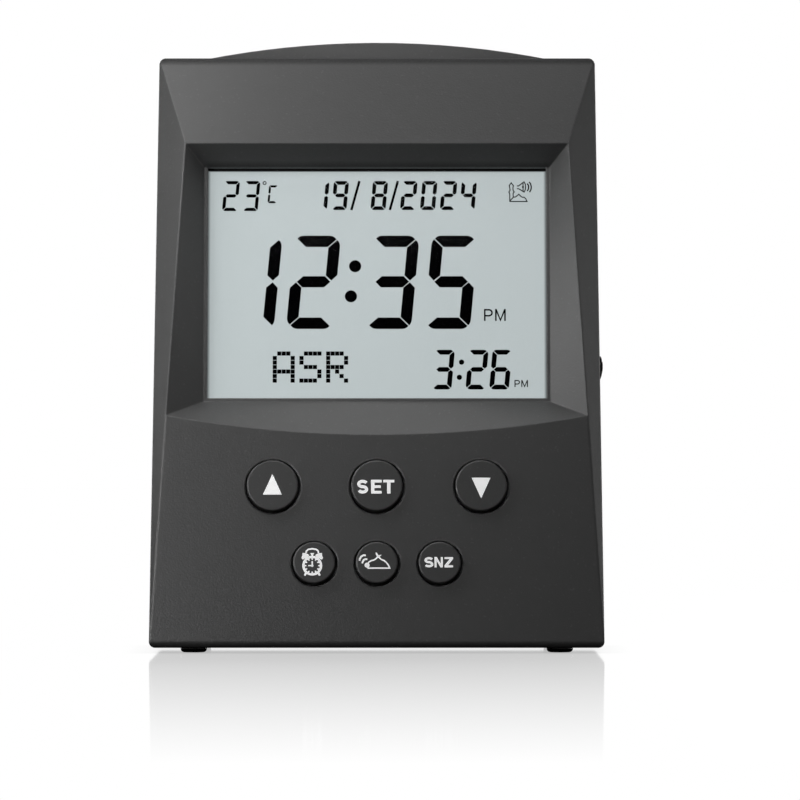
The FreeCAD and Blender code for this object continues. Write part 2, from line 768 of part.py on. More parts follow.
def make_front_shell():
    """The front moulding: leaning panel, header, side facets, sunk frame and bosses."""
    shell = panel_body("front_shell")
    wedge(shell, as_size(0), parting_depth)
    soften(shell, "ridge_edges", ridge_radius, is_ridge)
    soften(shell, "outer_edges", edge_radius, is_outer_edge)
    cut_across(shell, "foot_edge", foot_edge_profile())

    hollow = tool_body("front_hollow")
    wedge(hollow, wall, parting_depth + spare)
    sockets = tool_body("front_foot_sockets", lean)
    dig = sockets.newObject("PartDesign::Pad", "front_foot_pad")
    spots = [disc(side * foot_across, -foot_front, foot_diameter + 2 * running_gap) for side in (-1, 1)]
    dig.Profile = drawn(sockets, "front_foot_spots", spots, "XZ_Plane", -foot_sunk)
    dig.setExpression("Length", (foot_sunk + spare).formula)
    take_in(shell, "hollowed", "Cut", [hollow, sockets])

    frame = tool_body("sunk_frame")
    frame_loft(frame, "frame_wall", wall, frame_wall)
    grow(frame, "frame_ledge", [frame_section(recess_depth, frame_wall)], recess_depth, lens_front)
    take_in(shell, "framed", "Fuse", [frame])

    for index, (across, up) in enumerate(CASE_SCREWS):
        start = boss_start(up, case_boss)
        grow(shell, f"case_boss_{index}", [disc(across, up, case_boss)], start, parting_depth)
    for index, (across, up) in enumerate(BOARD_SCREWS):
        start = boss_start(up, board_boss)
        grow(shell, f"board_boss_{index}", [disc(across, up, board_boss)], start, board_depth)

    recess = tool_body("recess")
    frame_loft(recess, "recess_space", as_size(0), as_size(0))
    take_in(shell, "recessed", "Cut", [recess])
    light_middle = window_middle + ledge_width / 2
    light = centred(window_width - 2 * ledge_width, light_middle, window_height - ledge_width)
    cut(shell, "light_opening", [light], recess_depth - ledge_width, lens_front + ledge_width)
    pilots = [disc(across, up, case_screw_diameter + 2 * screw_gap) for across, up in CASE_SCREWS]
    pilot_end = parting_depth + case_seat - case_screw_length - screw_end
    cut(shell, "case_pilots", pilots, pilot_end, parting_depth + wall)
    pilots = [disc(across, up, board_screw_diameter + 2 * screw_gap) for across, up in BOARD_SCREWS]
    cut(shell, "board_pilots", pilots, board_back - board_screw_length - screw_end, board_depth + wall)
    holes = [disc(across, up, diameter + 2 * key_gap) for _, across, up, diameter in KEYS]
    cut(shell, "key_holes", holes, -wall, 2 * wall)

    def hole_edge(edge):
        at_surface = abs(edge.CenterOfMass.z) < 0.01
        is_round = edge.Curve.TypeId == "Part::GeomCircle"
        return at_surface and is_round and edge.Curve.Radius < large_key_diameter.value

    soften(shell, "hole_edges", hole_round, hole_edge)
    return shell


# ---------------------------------------------------------------- the rear shell and its door

def casing_outline(inset):
    """The casing seen from behind, without its crown: tapered sides and a straight top."""
    low_half = case_width / 2 - inset
    high_half = top_width / 2 - inset
    top = case_height - inset
    return outline([(-low_half, inset), (low_half, inset), (high_half, top), (-high_half, top)])


def crown_outline(inset):
    """The low arch on top of the casing, seen from behind."""
    half = crown_span / 2 - inset
    low = case_height - 2 * wall
    top = case_height - inset
    return outline([(-half, low), (half, low), (half, top), (-half, top)], {2: crown_rise})


def parting_profile():
    """Everything in front of the plane where the two shells meet, as a side profile."""
    low = -spare
    high = case_height + spare
    low_depth = parting_depth / cos_lean + low * tan_lean
    high_depth = parting_depth / cos_lean + high * tan_lean
    return outline([(low, spare), (low, -low_depth), (high, -high_depth), (high, spare)])


def column_end(up):
    """The depth at which a screw column ends, inside the back wall."""
    return (case_depth - weld - (up + case_boss / 2) * sin_lean) / cos_lean


def runs_back(edge):
    """Whether an edge runs straight from front to back."""
    return all(same(vertex.Point.x, edge.CenterOfMass.x) and same(vertex.Point.y, edge.CenterOfMass.y)
               for vertex in edge.Vertexes)


def make_rear_shell():
    """The rear moulding: casing, battery bay, speaker ring, grille and screw columns."""
    shell = upright_body("rear_shell")
    grow(shell, "casing", [casing_outline(as_size(0))], wall, case_depth)
    grow(shell, "crown", [crown_outline(as_size(0))], wall, case_depth)

    def corner(edge):
        across = abs(edge.CenterOfMass.x)
        return runs_back(edge) and (same(across, case_width / 2) or same(across, top_width / 2))

    def crown_foot(edge):
        return runs_back(edge) and same(abs(edge.CenterOfMass.x), crown_span / 2)

    soften(shell, "corner_edges", edge_radius, corner)
    soften(shell, "crown_feet", crown_blend, crown_foot)
    cut_across(shell, "parting", parting_profile())

    def on_back(edge):
        return all(same(-vertex.Point.z, case_depth) for vertex in edge.Vertexes)

    soften(shell, "back_edges", back_radius, on_back)

    hollow = tool_body("rear_hollow")
    grow(hollow, "rear_space", [casing_outline(wall)], wall, case_depth - wall)
    crown_front = (parting_depth + wall) / cos_lean + (case_height + crown_rise) * tan_lean
    grow(hollow, "crown_space", [crown_outline(wall)], crown_front, case_depth - wall)
    columns = tool_body("screw_columns", -lean)
    for index, (across, up) in enumerate(CASE_SCREWS):
        grow(columns, f"column_{index}", [disc(across, up, case_boss)], parting_depth, column_end(up))
    ways = tool_body("screw_ways", -lean)
    past_back = case_depth + spare
    for index, (across, up) in enumerate(CASE_SCREWS):
        clearance = case_screw_diameter + 2 * running_gap
        shank_way = disc(across, up, clearance)
        head_way = disc(across, up, head_access)
        grow(ways, f"shank_way_{index}", [shank_way], parting_depth - wall, past_back)
        grow(ways, f"head_way_{index}", [head_way], parting_depth + case_seat, past_back)
    slot_half = wheel_diameter / 2 + wheel_gap
    slot = box(case_width / 2 - 2 * wall, case_width, wheel_up - slot_half, wheel_up + slot_half)
    slot_depth = wheel_front + wheel_thickness + wheel_gap
    grow(ways, "wheel_slot", [slot], parting_depth - wall, slot_depth)
    take_in(shell, "hollowed_rear", "Cut", [hollow])
    take_in(shell, "columned", "Fuse", [columns])

    bay_half = bay_length / 2
    bay_top = bay_bottom + bay_height
    bay_block = box(-bay_half - bay_wall, bay_half + bay_wall, bay_bottom - bay_wall, bay_top + bay_wall)
    grow(shell, "bay_block", [bay_block], bay_front - bay_wall, case_depth - wall / 2)
    seat_half = door_width / 2 + door_gap + bay_wall
    seat = box(-seat_half, seat_half, door_bottom - bay_wall, door_top + bay_wall)
    grow(shell, "door_seat", [seat], door_front - bay_wall, case_depth - wall / 2)
    mouth = case_depth - wall - speaker_ring_height
    ring = [disc(0, speaker_height, speaker_diameter + 2 * (speaker_fit + speaker_ring)),
            disc(0, speaker_height, speaker_diameter + 2 * speaker_fit)]
    grow(shell, "speaker_wall", ring, mouth, case_depth - wall / 2)

    take_in(shell, "drilled", "Cut", [ways])
    cut(shell, "bay", [box(-bay_half, bay_half, bay_bottom, bay_top)], bay_front, case_depth + wall)
    rebate_half = door_width / 2 + door_gap
    rebate = box(-rebate_half, rebate_half, door_bottom - door_gap, door_top + door_gap)
    cut(shell, "door_rebate", [rebate], door_front, case_depth + wall)
    thumb = box(-thumb_width / 2, thumb_width / 2, door_top, door_top + thumb_height)
    cut(shell, "thumb_notch", [thumb], case_depth - door_thickness / 2, case_depth + wall)
    pin_hole = shell.newObject("PartDesign::Pocket", "pin_hole")
    hole = disc(door_pivot_rise, -door_pivot_depth, door_pin_diameter + 2 * running_gap)
    pin_hole.Profile = drawn(shell, "pin_hole", [hole], "YZ_Plane")
    pin_hole.Midplane = True
    reach = door_width + 2 * (door_pin_length + door_gap)
    pin_hole.setExpression("Length", reach.formula)
    sockets = shell.newObject("PartDesign::Pocket", "foot_sockets")
    spots = [disc(side * foot_across, -foot_back, foot_diameter + 2 * running_gap) for side in (-1, 1)]
    sockets.Profile = drawn(shell, "foot_sockets", spots, "XZ_Plane")
    sockets.setExpression("Length", foot_sunk.formula)
    make_grille(shell)
    return shell


def make_grille(shell):
    """Rings of round holes through the back wall, in front of the speaker."""
    holes = []
    for ring in range(GRILLE_RINGS):
        hole = shell.newObject("PartDesign::Pocket", f"grille_hole_{ring}")
        sketch = drawn(shell, f"grille_hole_{ring}", [disc(ring * grille_pitch, 0, grille_hole)],
                       "XY_Plane", -(case_depth - 2 * wall))
        sketch.setExpression("AttachmentOffset.Base.y", speaker_height.formula)
        hole.Profile = sketch
        hole.setExpression("Length", (3 * wall).formula)
        holes.append((hole, sketch))
    for ring, (hole, sketch) in enumerate(holes):
        if ring == 0:
            continue
        pattern = shell.newObject("PartDesign::PolarPattern", f"grille_ring_{ring}")
        pattern.Originals = [hole]
        pattern.Axis = (sketch, ["N_Axis"])
        pattern.Angle = 360
        pattern.Occurrences = 6 * ring
        shell.Tip = pattern


def make_battery_door():
    """The door over the cells. It swings on two pins in its rounded lower edge."""
    door = upright_body("battery_door", 0, door_pivot_rise, door_pivot_depth)
    half = door_thickness / 2
    height = door_top - door_pivot_rise
    profile = outline([(0, -half), (height, -half), (height, half), (0, half)], {3: half * 0.9})
    grow_across(door, "door_plate", profile, door_width)
    pins = door.newObject("PartDesign::Pad", "door_pins")
    pins.Profile = drawn(door, "door_pins", [disc(0, 0, door_pin_diameter)], "YZ_Plane")
    pins.Midplane = True
    pins.setExpression("Length", (door_width + 2 * door_pin_length).formula)
    tongue_half = thumb_width / 2 - door_gap * 4
    tongue = box(-tongue_half, tongue_half, height - wall, height + tongue_reach)
    grow(door, "door_tongue", [tongue], 0, half)
    rib_width = thumb_width - 2 * door_gap
    for index in range(GRIPS):
        rib = centred(rib_width, height - grip_drop - index * grip_pitch, grip_width)
        cut(door, f"grip_{index}", [rib], half - grip_depth, half + wall)
    return door


# ---------------------------------------------------------------- keys and switches

def make_key(name, across, up, diameter):
    """A round key cap with a flange behind the panel and a stem that reaches its switch."""
    key = panel_body(name, across, up)
    flange_front = wall + key_flange_gap
    flange_back = flange_front + key_flange_thickness
    grow(key, name + "_cap", [disc(0, 0, diameter)], -key_proud, flange_back)
    grow(key, name + "_flange", [disc(0, 0, diameter + 2 * key_flange)], flange_front, flange_back)
    grow(key, name + "_stem", [disc(0, 0, key_stem_diameter)], flange_front, key_back)
    soften(key, name + "_edge", key_round, lambda edge: same(edge.CenterOfMass.z, key_proud))
    return key


def make_plunger(name, across, up):
    """The switch's own plunger, which the key's stem pushes."""
    plunger = panel_body(name + "_plunger", across, up)
    back = key_back + plunger_proud + plunger_depth
    grow(plunger, name + "_rod", [disc(0, 0, plunger_diameter)], key_back, back)
    return plunger


def make_switches():
    """The six switch bodies on the board, each hollow for its plunger."""
    switches = panel_body("switch_bodies")
    top = board_depth - switch_height
    half = switch_side / 2
    squares = [box(x - half, x + half, up - half, up + half) for _, x, up, _ in KEYS]
    grow(switches, "switch_blocks", squares, top, board_depth)
    holes = [disc(x, up, plunger_diameter + 2 * running_gap) for _, x, up, _ in KEYS]
    cut(switches, "switch_holes", holes, top - wall, top + plunger_depth + key_travel + switch_floor)
    return switches


# ---------------------------------------------------------------- display stack and board

def make_window():
    window = panel_body("display_window")
    pane = centred(window_width + 2 * lens_overlap, window_middle, window_height + 2 * lens_overlap)
    grow(window, "pane", [pane], lens_front, glass_front)
    return window


def make_lcd():
    """Two glass plates. The front one is taller, and its bare edges carry the contacts."""
    lcd = panel_body("lcd_panel")
    front = centred(glass_width, window_middle, glass_height)
    rear = centred(glass_width, window_middle, glass_height - 2 * contact_strip)
    grow(lcd, "front_glass", [front], glass_front, glass_front + glass_sheet)
    grow(lcd, "rear_glass", [rear], glass_front + glass_sheet, glass_back)
    return lcd


def make_guide():
    guide = panel_body("backlight_guide")
    guide_width = glass_width - 2 * guide_margin
    guide_height = glass_height - 2 * contact_strip - guide_margin
    grow(guide, "guide_plate", [centred(guide_width, window_middle, guide_height)], glass_back, board_depth)
    return guide


def make_strip(name, side):
    """A strip of layered rubber that joins the glass's contacts to the board's."""
    strip = panel_body(name)
    outer = glass_height / 2 - strip_margin
    inner = glass_height / 2 - contact_strip + strip_margin
    low, high = (inner, outer) if side > 0 else (-outer, -inner)
    half = glass_width / 2 - guide_margin
    shape = box(-half, half, window_middle + low, window_middle + high)
    grow(strip, name + "_bar", [shape], glass_front + glass_sheet, board_depth)
    return strip


PEGS = both_sides([(peg_across, window_middle - peg_spread), (peg_across, window_middle + peg_spread)])


def make_holder():
    """The frame round the glass, with four pegs that locate it in the board."""
    holder = panel_body("lcd_holder")
    frame = [centred(holder_width, window_middle, holder_height),
             centred(glass_width + 2 * holder_fit, window_middle, glass_height + 2 * holder_fit)]
    grow(holder, "holder_frame", frame, lens_front, board_depth)
    pegs = [disc(x, up, peg_diameter) for x, up in PEGS]
    grow(holder, "holder_pegs", pegs, board_depth - wall, board_depth + peg_length)
    return holder


def make_lamps():
    """Two small lamps that light the guide from its ends."""
    lamps = panel_body("backlight_lamps")
    inner = glass_width / 2 - guide_margin + holder_fit
    low = window_middle - lamp_length / 2
    high = window_middle + lamp_length / 2
    shapes = [box(inner, inner + lamp_width, low, high), box(-inner - lamp_width, -inner, low, high)]
    grow(lamps, "lamp_blocks", shapes, board_depth - lamp_height, board_depth)
    return lamps


def make_board():
    """The one circuit board, notched round the case screws' bosses."""
    board = panel_body("main_board")
    half = board_width / 2
    notch = case_screw_across - case_boss / 2 - board_clearance
    low = case_screw_low + case_boss / 2 + board_clearance
    high = case_screw_high - case_boss / 2 - board_clearance
    right = [(notch, board_bottom), (notch, low), (half, low)]
    right += [(half, high), (notch, high), (notch, board_top)]
    left = [(-x, up) for x, up in reversed(right)]
    grow(board, "board_plate", [outline(right + left)], board_depth, board_back)
    holes = [disc(x, up, board_screw_diameter + 4 * running_gap) for x, up in BOARD_SCREWS]
    holes += [disc(x, up, peg_diameter + 2 * running_gap) for x, up in PEGS]
    cut(board, "board_holes", holes, board_depth - wall, board_back + wall)
    return board


# ---------------------------------------------------------------- small pieces on the board

def make_blob():
    """The clock chip: bare silicon under a low dome of resin."""
    blob = panel_body("clock_chip", 0, chip_up)
    radius = blob_diameter / 2
    flat = blob_flat / 2
    section = [(0, -board_back), (radius, -board_back),
               (flat, -board_back - blob_height), (0, -board_back - blob_height)]
    turn(blob, "resin_dome", outline(section, {1: -blob_height / 6}))
    return blob


def make_sound_chip():
    chip = panel_body("sound_chip", chip_across, chip_up)
    half = chip_side / 2
    square = centred(chip_side, 0, chip_side)
    grow(chip, "chip_body", [square], board_back + chip_stand, board_back + chip_height)
    legs = []
    for index in range(CHIP_LEGS):
        middle = (index - (CHIP_LEGS - 1) / 2) * leg_pitch
        for side in (-1, 1):
            inner = side * (half - leg_width)
            outer = side * (half + leg_reach)
            left, right = (inner, outer) if side > 0 else (outer, inner)
            legs.append(box(left, right, middle - leg_width / 2, middle + leg_width / 2))
    grow(chip, "chip_legs", legs, board_back, board_back + chip_stand * 2)
    return chip


def make_crystal():
    """The quartz crystal's can, lying on the board."""
    crystal = panel_body("quartz_crystal", -chip_across, chip_up)
    radius = crystal_diameter / 2
    section = outline([(0, 0), (radius, 0), (radius, crystal_length), (0, crystal_length)])
    turn(crystal, "can", section, "XY_Plane", "V_Axis", -board_back - radius)
    return crystal


def make_capacitor():
    capacitor = panel_body("filter_capacitor", -tall_part_across, tall_part_up)
    grow(capacitor, "can", [disc(0, 0, capacitor_diameter)], board_back, board_back + capacitor_height)
    soften(capacitor, "can_edge", lead_diameter / 2,
           lambda edge: same(-edge.CenterOfMass.z, board_back + capacitor_height))
    return capacitor


def make_thermistor():
    """A bead on two leads, which measures the room's temperature."""
    sensor = panel_body("thermistor", tall_part_across, tall_part_up)
    gap = bead_diameter / 4
    leads = [disc(0, side * gap, lead_diameter) for side in (-1, 1)]
    tip = board_back + lead_length
    grow(sensor, "leads", leads, board_back, tip + gap)
    bead = sensor.newObject("PartDesign::AdditiveSphere", "bead")
    bead.AttachmentSupport = [(origin_feature(sensor, "XY_Plane"), "")]
    bead.MapMode = "FlatFace"
    bead.setExpression("AttachmentOffset.Base.z", (-tip - bead_diameter / 2).formula)
    bead.setExpression("Radius", (bead_diameter / 2).formula)
    return sensor


# ---------------------------------------------------------------- volume wheel

def make_volume_wheel():
    """The knurled wheel whose edge stands out of the case's right side."""
    wheel = panel_body("volume_wheel", wheel_across, wheel_up)
    bore = spindle_diameter + 2 * running_gap
    back = wheel_front + wheel_thickness
    grow(wheel, "wheel_disc", [disc(0, 0, wheel_diameter), disc(0, 0, bore)], wheel_front, back)
    groove = wheel.newObject("PartDesign::Pocket", "knurl")
    radius = wheel_diameter / 2
    tooth = outline([(radius - wheel_tooth, 0), (radius + wheel_tooth, -wheel_tooth),
                     (radius + wheel_tooth, wheel_tooth)])
    groove.Profile = drawn(wheel, "knurl", [tooth], "XY_Plane", -(wheel_front - wall))
    groove.setExpression("Length", (wheel_thickness + 2 * wall).formula)
    knurl = wheel.newObject("PartDesign::PolarPattern", "knurls")
    knurl.Originals = [groove]
    knurl.Axis = (origin_feature(wheel, "Z_Axis"), [""])
    knurl.Angle = 360
    knurl.Occurrences = KNURLS
    wheel.Tip = knurl
    return wheel


def make_potentiometer():
    pot = panel_body("volume_potentiometer", wheel_across, wheel_up)
    body = box(-pot_width + pot_overhang, pot_overhang, -pot_width / 2, pot_width / 2)
    grow(pot, "pot_base", [body], board_back, board_back + pot_thickness)
    tip = wheel_front + wheel_thickness + spindle_end
    grow(pot, "pot_spindle", [disc(0, 0, spindle_diameter)], board_back, tip)
    return pot


# ---------------------------------------------------------------- speaker

def speaker_body(name):
    """A body whose origin is the middle of the speaker's mouth, just inside the back wall."""
    return upright_body(name, 0, speaker_height, case_depth - wall - running_gap)


def make_speaker():
    """The speaker's steel basket, paper cone and magnet, turned about one axis."""
    rim = speaker_diameter / 2
    throat = coil_diameter / 2
    lip = rim - surround_width
    floor = speaker_depth - magnet_thickness
    hub = magnet_diameter / 2 + speaker_fit * 2
    basket = speaker_body("speaker_basket")
    turn(basket, "basket", outline([
        (rim, cone_thickness), (rim, cone_thickness + speaker_rim), (lip, cone_thickness + speaker_rim),
        (hub, floor), (throat + speaker_fit * 2, floor), (throat + speaker_fit * 2, floor - basket_sheet),
        (hub - basket_sheet, floor - basket_sheet), (lip - basket_sheet, cone_thickness + basket_sheet),
        (lip - basket_sheet, cone_thickness),
    ]))
    cone = speaker_body("speaker_cone")
    edge = lip - basket_sheet
    former_end = floor + cone_thickness * 1.5
    turn(cone, "cone", outline([
        (0, cap_depth), (throat, cone_drop), (edge - speaker_fit * 2, 0), (rim - speaker_fit * 2, 0),
        (rim - speaker_fit * 2, cone_thickness), (edge - basket_sheet, cone_thickness),
        (throat + cone_thickness, cone_drop + cone_thickness), (throat, cone_drop + cone_thickness),
        (throat, former_end), (throat - cone_thickness, former_end),
        (throat - cone_thickness, cone_drop + cone_thickness), (0, cap_depth + cone_thickness),
    ]))
    magnet = speaker_body("speaker_magnet")
    slot_inner = throat - cone_thickness - speaker_fit
    slot_outer = throat + speaker_fit
    slot_end = former_end + speaker_fit
    turn(magnet, "magnet", outline([
        (0, floor), (slot_inner, floor), (slot_inner, slot_end), (slot_outer, slot_end),
        (slot_outer, floor), (magnet_diameter / 2, floor), (magnet_diameter / 2, speaker_depth),
        (0, speaker_depth),
    ]))
    return [basket, cone, magnet]


# ---------------------------------------------------------------- cells and their contacts

SPRING_STEPS = 8


def make_cell(name, rise, side):
    """A cylindrical cell. Its raised end points to the given side of the clock."""
    cell = upright_body(name, 0, rise, cell_depth)
    tip = side * (bay_length / 2 - contact_thickness)
    shoulder = tip - side * cell_nub_length
    start = shoulder - side * cell_length
    radius = cell_diameter / 2
    nub = cell_nub_diameter / 2
    can = [(start, 0), (start, radius), (shoulder, radius)]
    raised_end = [(shoulder, nub), (tip, nub), (tip, 0)]
    turn(cell, "cell", outline(can + raised_end), "XY_Plane", "H_Axis")
    return cell


def spring_section(side):
    """Half the section of a spring that narrows towards the cell, as a pleated tube."""
    base = side * (bay_length / 2 - contact_thickness)
    outer = []
    inner = []
    for index in range(SPRING_STEPS + 1):
        x = base - side * spring_length * index / SPRING_STEPS
        radius = spring_radius - spring_taper * index / SPRING_STEPS - (index % 2) * spring_wire
        outer.append((x, radius))
        inner.append((x, radius - spring_wire))
    return outline(outer + list(reversed(inner)))


def make_contact(name, rise, side, spring, low, high):
    """A sheet metal contact at one end of the bay, with or without a spring."""
    contact = upright_body(name, 0, rise, cell_depth)
    near_end = side * (bay_length / 2 - contact_thickness)
    far_end = side * bay_length / 2
    left, right = (near_end, far_end) if side > 0 else (far_end, near_end)
    half = contact_width / 2
    if spring:
        turn(contact, name + "_spring", spring_section(side), "XY_Plane", "H_Axis")
    grow(contact, name + "_sheet", [box(left, right, low, high)], -half, half)
    return contact


# ---------------------------------------------------------------- screws and feet

def make_case_screws():
    """Four screws that hold the two shells together."""
    screws = panel_body("case_screws")
    seat = parting_depth + case_seat
    shanks = [disc(x, up, case_screw_diameter) for x, up in CASE_SCREWS]
    heads = [disc(x, up, case_head_diameter) for x, up in CASE_SCREWS]
    grow(screws, "case_shanks", shanks, seat - case_screw_length, seat + case_head_height / 2)
    grow(screws, "case_heads", heads, seat, seat + case_head_height)
    cut_crosses(screws, CASE_SCREWS, seat + case_head_height)
    return screws


def make_board_screws():
    """Six screws that hold the board on its bosses."""
    screws = panel_body("board_screws")
    shanks = [disc(x, up, board_screw_diameter) for x, up in BOARD_SCREWS]
    heads = [disc(x, up, board_head_diameter) for x, up in BOARD_SCREWS]
    tip = board_back - board_screw_length
    grow(screws, "board_shanks", shanks, tip, board_back + board_head_height / 2)
    grow(screws, "board_heads", heads, board_back, board_back + board_head_height)
    cut_crosses(screws, BOARD_SCREWS, board_back + board_head_height)
    return screws


def cut_crosses(screws, places, top):
    """The crossed slots in the screw heads."""
    for index, flat in enumerate((False, True)):
        wide, tall = (drive_reach, drive_slot / 2) if flat else (drive_slot / 2, drive_reach)
        bars = [box(x - wide, x + wide, up - tall, up + tall) for x, up in places]
        slot = screws.newObject("PartDesign::Pocket", f"slots_{index}")
        slot.Profile = drawn(screws, f"slots_{index}", bars, "XY_Plane", -(top - drive_slot))
        slot.setExpression("Length", (2 * drive_slot).formula)


def make_foot(name, across, depth):
    """A round rubber foot, sunk a little into the case's underside."""
    foot = doc.addObject("PartDesign::Body", name)
    move_to(foot, across, depth - case_depth / 2, 0)
    radius = foot_diameter / 2
    height = foot_height + foot_sunk
    section = outline([(0, 0), (radius - foot_round, 0), (radius, foot_round),
                       (radius, height), (0, height)], {1: foot_round * (1 - math.sqrt(0.5))})
    turn(foot, name + "_pad", section, "XZ_Plane")
    return foot


# ---------------------------------------------------------------- the whole clock

def make_clock():
    pieces = [make_front_shell(), make_rear_shell(), make_battery_door()]
    pieces += [make_window(), make_lcd(), make_holder(), make_guide(), make_lamps()]
    pieces += [make_strip("contact_strip_upper", 1), make_strip("contact_strip_lower", -1), make_board()]
    for name, across, up, diameter in KEYS:
        pieces += [make_key(name, across, up, diameter), make_plunger(name, across, up)]
    pieces += [make_switches(), make_volume_wheel(), make_potentiometer()]
    pieces += [make_blob(), make_sound_chip(), make_crystal(), make_capacitor(), make_thermistor()]
    pieces += make_speaker()
    pieces += [make_cell("cell_lower", low_cell_rise, 1), make_cell("cell_upper", high_cell_rise, -1)]
    sheet_half = cell_diameter / 2 - cell_gap
    pieces += [
        make_contact("contact_bridge", low_cell_rise, -1, True, -sheet_half, cell_pitch + sheet_half),
        make_contact("contact_spring", high_cell_rise, 1, True, -sheet_half, sheet_half),
        make_contact("contact_plate", low_cell_rise, 1, False, -sheet_half, sheet_half),
    ]
    pieces += [make_case_screws(), make_board_screws()]
    for row, depth in (("front", foot_front), ("back", foot_back)):
        for side, across in (("left", -foot_across), ("right", foot_across)):
            pieces.append(make_foot(f"foot_{row}_{side}", across, depth))
    return pieces


def write_pieces(pieces):
    """Checks every object, then writes each piece as a STEP file named after it."""
    doc.recompute()
    for item in doc.Objects:
        if "Invalid" in item.State or "Error" in item.State:
            raise RuntimeError(f"{item.Name} could not be made: {item.State}")
    for piece in pieces:
        if piece.Shape.isNull() or not piece.Shape.isValid() or not piece.Shape.Solids:
            raise RuntimeError(f"{piece.Label} has no sound solid")
    os.makedirs("parts", exist_ok=True)
    for piece in pieces:
        piece.Shape.exportStep(f"parts/{piece.Label}.step")
    print(f"{len(pieces)} pieces written")


write_pieces(make_clock())
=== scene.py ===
# %% [markdown]
# # A desk clock that sounds the call to prayer
# This lesson dresses a finished set of solids: a leaning case with a sunk display, six round keys, a
# volume wheel in its right side, and a speaker and a battery door in its back. The solids already have
# the right sizes and already move. What they lack is a finish for every surface, the print on the keys,
# and the marks that the display shows. Everything is in metres, in the solids' own frame.

# %% Load the solids
import json
import math

import bmesh
import bpy
from mathutils import Matrix, Vector

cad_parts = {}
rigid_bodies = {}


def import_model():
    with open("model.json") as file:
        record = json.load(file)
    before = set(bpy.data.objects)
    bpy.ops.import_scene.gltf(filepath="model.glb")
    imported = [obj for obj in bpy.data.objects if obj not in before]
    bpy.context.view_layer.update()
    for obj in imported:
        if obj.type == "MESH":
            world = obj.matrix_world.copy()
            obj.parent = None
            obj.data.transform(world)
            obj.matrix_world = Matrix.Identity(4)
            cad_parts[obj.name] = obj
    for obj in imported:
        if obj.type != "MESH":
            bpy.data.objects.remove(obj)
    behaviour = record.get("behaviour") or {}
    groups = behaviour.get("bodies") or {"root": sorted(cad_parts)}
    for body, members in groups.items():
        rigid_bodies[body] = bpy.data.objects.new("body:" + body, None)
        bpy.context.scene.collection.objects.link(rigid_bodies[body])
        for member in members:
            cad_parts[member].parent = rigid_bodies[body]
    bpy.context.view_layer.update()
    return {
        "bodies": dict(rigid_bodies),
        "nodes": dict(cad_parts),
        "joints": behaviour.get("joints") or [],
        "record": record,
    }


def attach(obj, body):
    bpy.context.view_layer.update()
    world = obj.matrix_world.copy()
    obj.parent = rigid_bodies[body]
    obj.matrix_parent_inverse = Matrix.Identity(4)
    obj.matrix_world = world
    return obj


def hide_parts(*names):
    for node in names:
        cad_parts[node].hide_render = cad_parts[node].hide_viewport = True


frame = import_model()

MM = 0.001
nodes = frame["nodes"]

# %% [markdown]
# The front panel leans back, so what lies on it needs the panel's own directions. The keys slide square
# to the panel, and their joint gives that direction exactly. The other two follow from it. Where a solid
# begins and ends along a direction is read from its points, so nothing here repeats a size.

# %% The panel's directions
key_joint = next(joint for joint in frame["joints"] if joint["name"] == "key_set_press")
ACROSS = Vector((1, 0, 0))
INWARD = Vector(key_joint["axis"])
UPWARD = INWARD.cross(ACROSS) * -1


def reach(node, direction):
    """Where a solid begins and ends along a direction."""
    along = [vertex.co.dot(direction) for vertex in nodes[node].data.vertices]
    return min(along), max(along)


def middle(node, direction):
    return sum(reach(node, direction)) / 2


def panel_place(across, up, depth):
    """A point of the panel's own frame."""
    return ACROSS * across + UPWARD * up + INWARD * depth


print("the panel leans back by", round(math.degrees(math.asin(-INWARD.z)), 2), "degrees")

# %% [markdown]
# # Finishes
# A finish is a shader with a little network of nodes behind it. To keep the networks readable, a value in
# one can be used in plain arithmetic: `1 - mask` adds a Math node. All other nodes come from one method,
# which takes the node's type, its settings and what goes into its sockets.

# %% Shader arithmetic
class Value:
    """A node's output that Python's operators can work on."""

    def __init__(self, network, socket):
        self.network = network
        self.socket = socket

    def math(self, operation, *inputs):
        return self.network.node("Math", {"operation": operation}, dict(enumerate(inputs)))

    def __add__(self, other):
        return self.math("ADD", self, other)

    __radd__ = __add__

    def __sub__(self, other):
        return self.math("SUBTRACT", self, other)

    def __rsub__(self, other):
        return self.math("SUBTRACT", other, self)

    def __mul__(self, other):
        return self.math("MULTIPLY", self, other)

    __rmul__ = __mul__

    def __gt__(self, other):
        return self.math("GREATER_THAN", self, other)

    def __abs__(self):
        return self.math("ABSOLUTE", self)


class Network:
    """A tree of nodes, all of them made by one method."""

    def __init__(self, tree):
        self.tree = tree

    def node(self, kind, settings=None, sockets=None, output=0):
        made = self.tree.nodes.new("ShaderNode" + kind)
        for setting, choice in (settings or {}).items():
            setattr(made, setting, choice)
        for key, content in (sockets or {}).items():
            if isinstance(content, Value):
                self.link(content, made.inputs[key])
            else:
                made.inputs[key].default_value = content
        return Value(self, made.outputs[output])

    def link(self, content, socket):
        self.tree.links.new(content.socket, socket)

    def range(self, content, low, high, start=0.0, stop=1.0):
        """Maps a value from one range to another and stops at its ends."""
        sockets = {"Value": content, "From Min": start, "From Max": stop, "To Min": low, "To Max": high}
        return self.node("MapRange", None, sockets)


def highest(first, *others):
    """The largest of several values at each point."""
    for other in others:
        first = first.math("MAXIMUM", first, other)
    return first


def lowest(first, *others):
    """The smallest of several values at each point."""
    for other in others:
        first = first.math("MINIMUM", first, other)
    return first


print("values can be added, subtracted, multiplied and compared")

# %% [markdown]
# Patterns follow the point's place in the clock's own frame, so they need no unwrapping and run on over
# an edge. Two more things are often wanted: relief, which is a height that tilts the surface, and a mask
# for edges. Blender's Bevel node gives the direction that a surface would have if its edges were rounded,
# and where that differs from the true direction, an edge is near.

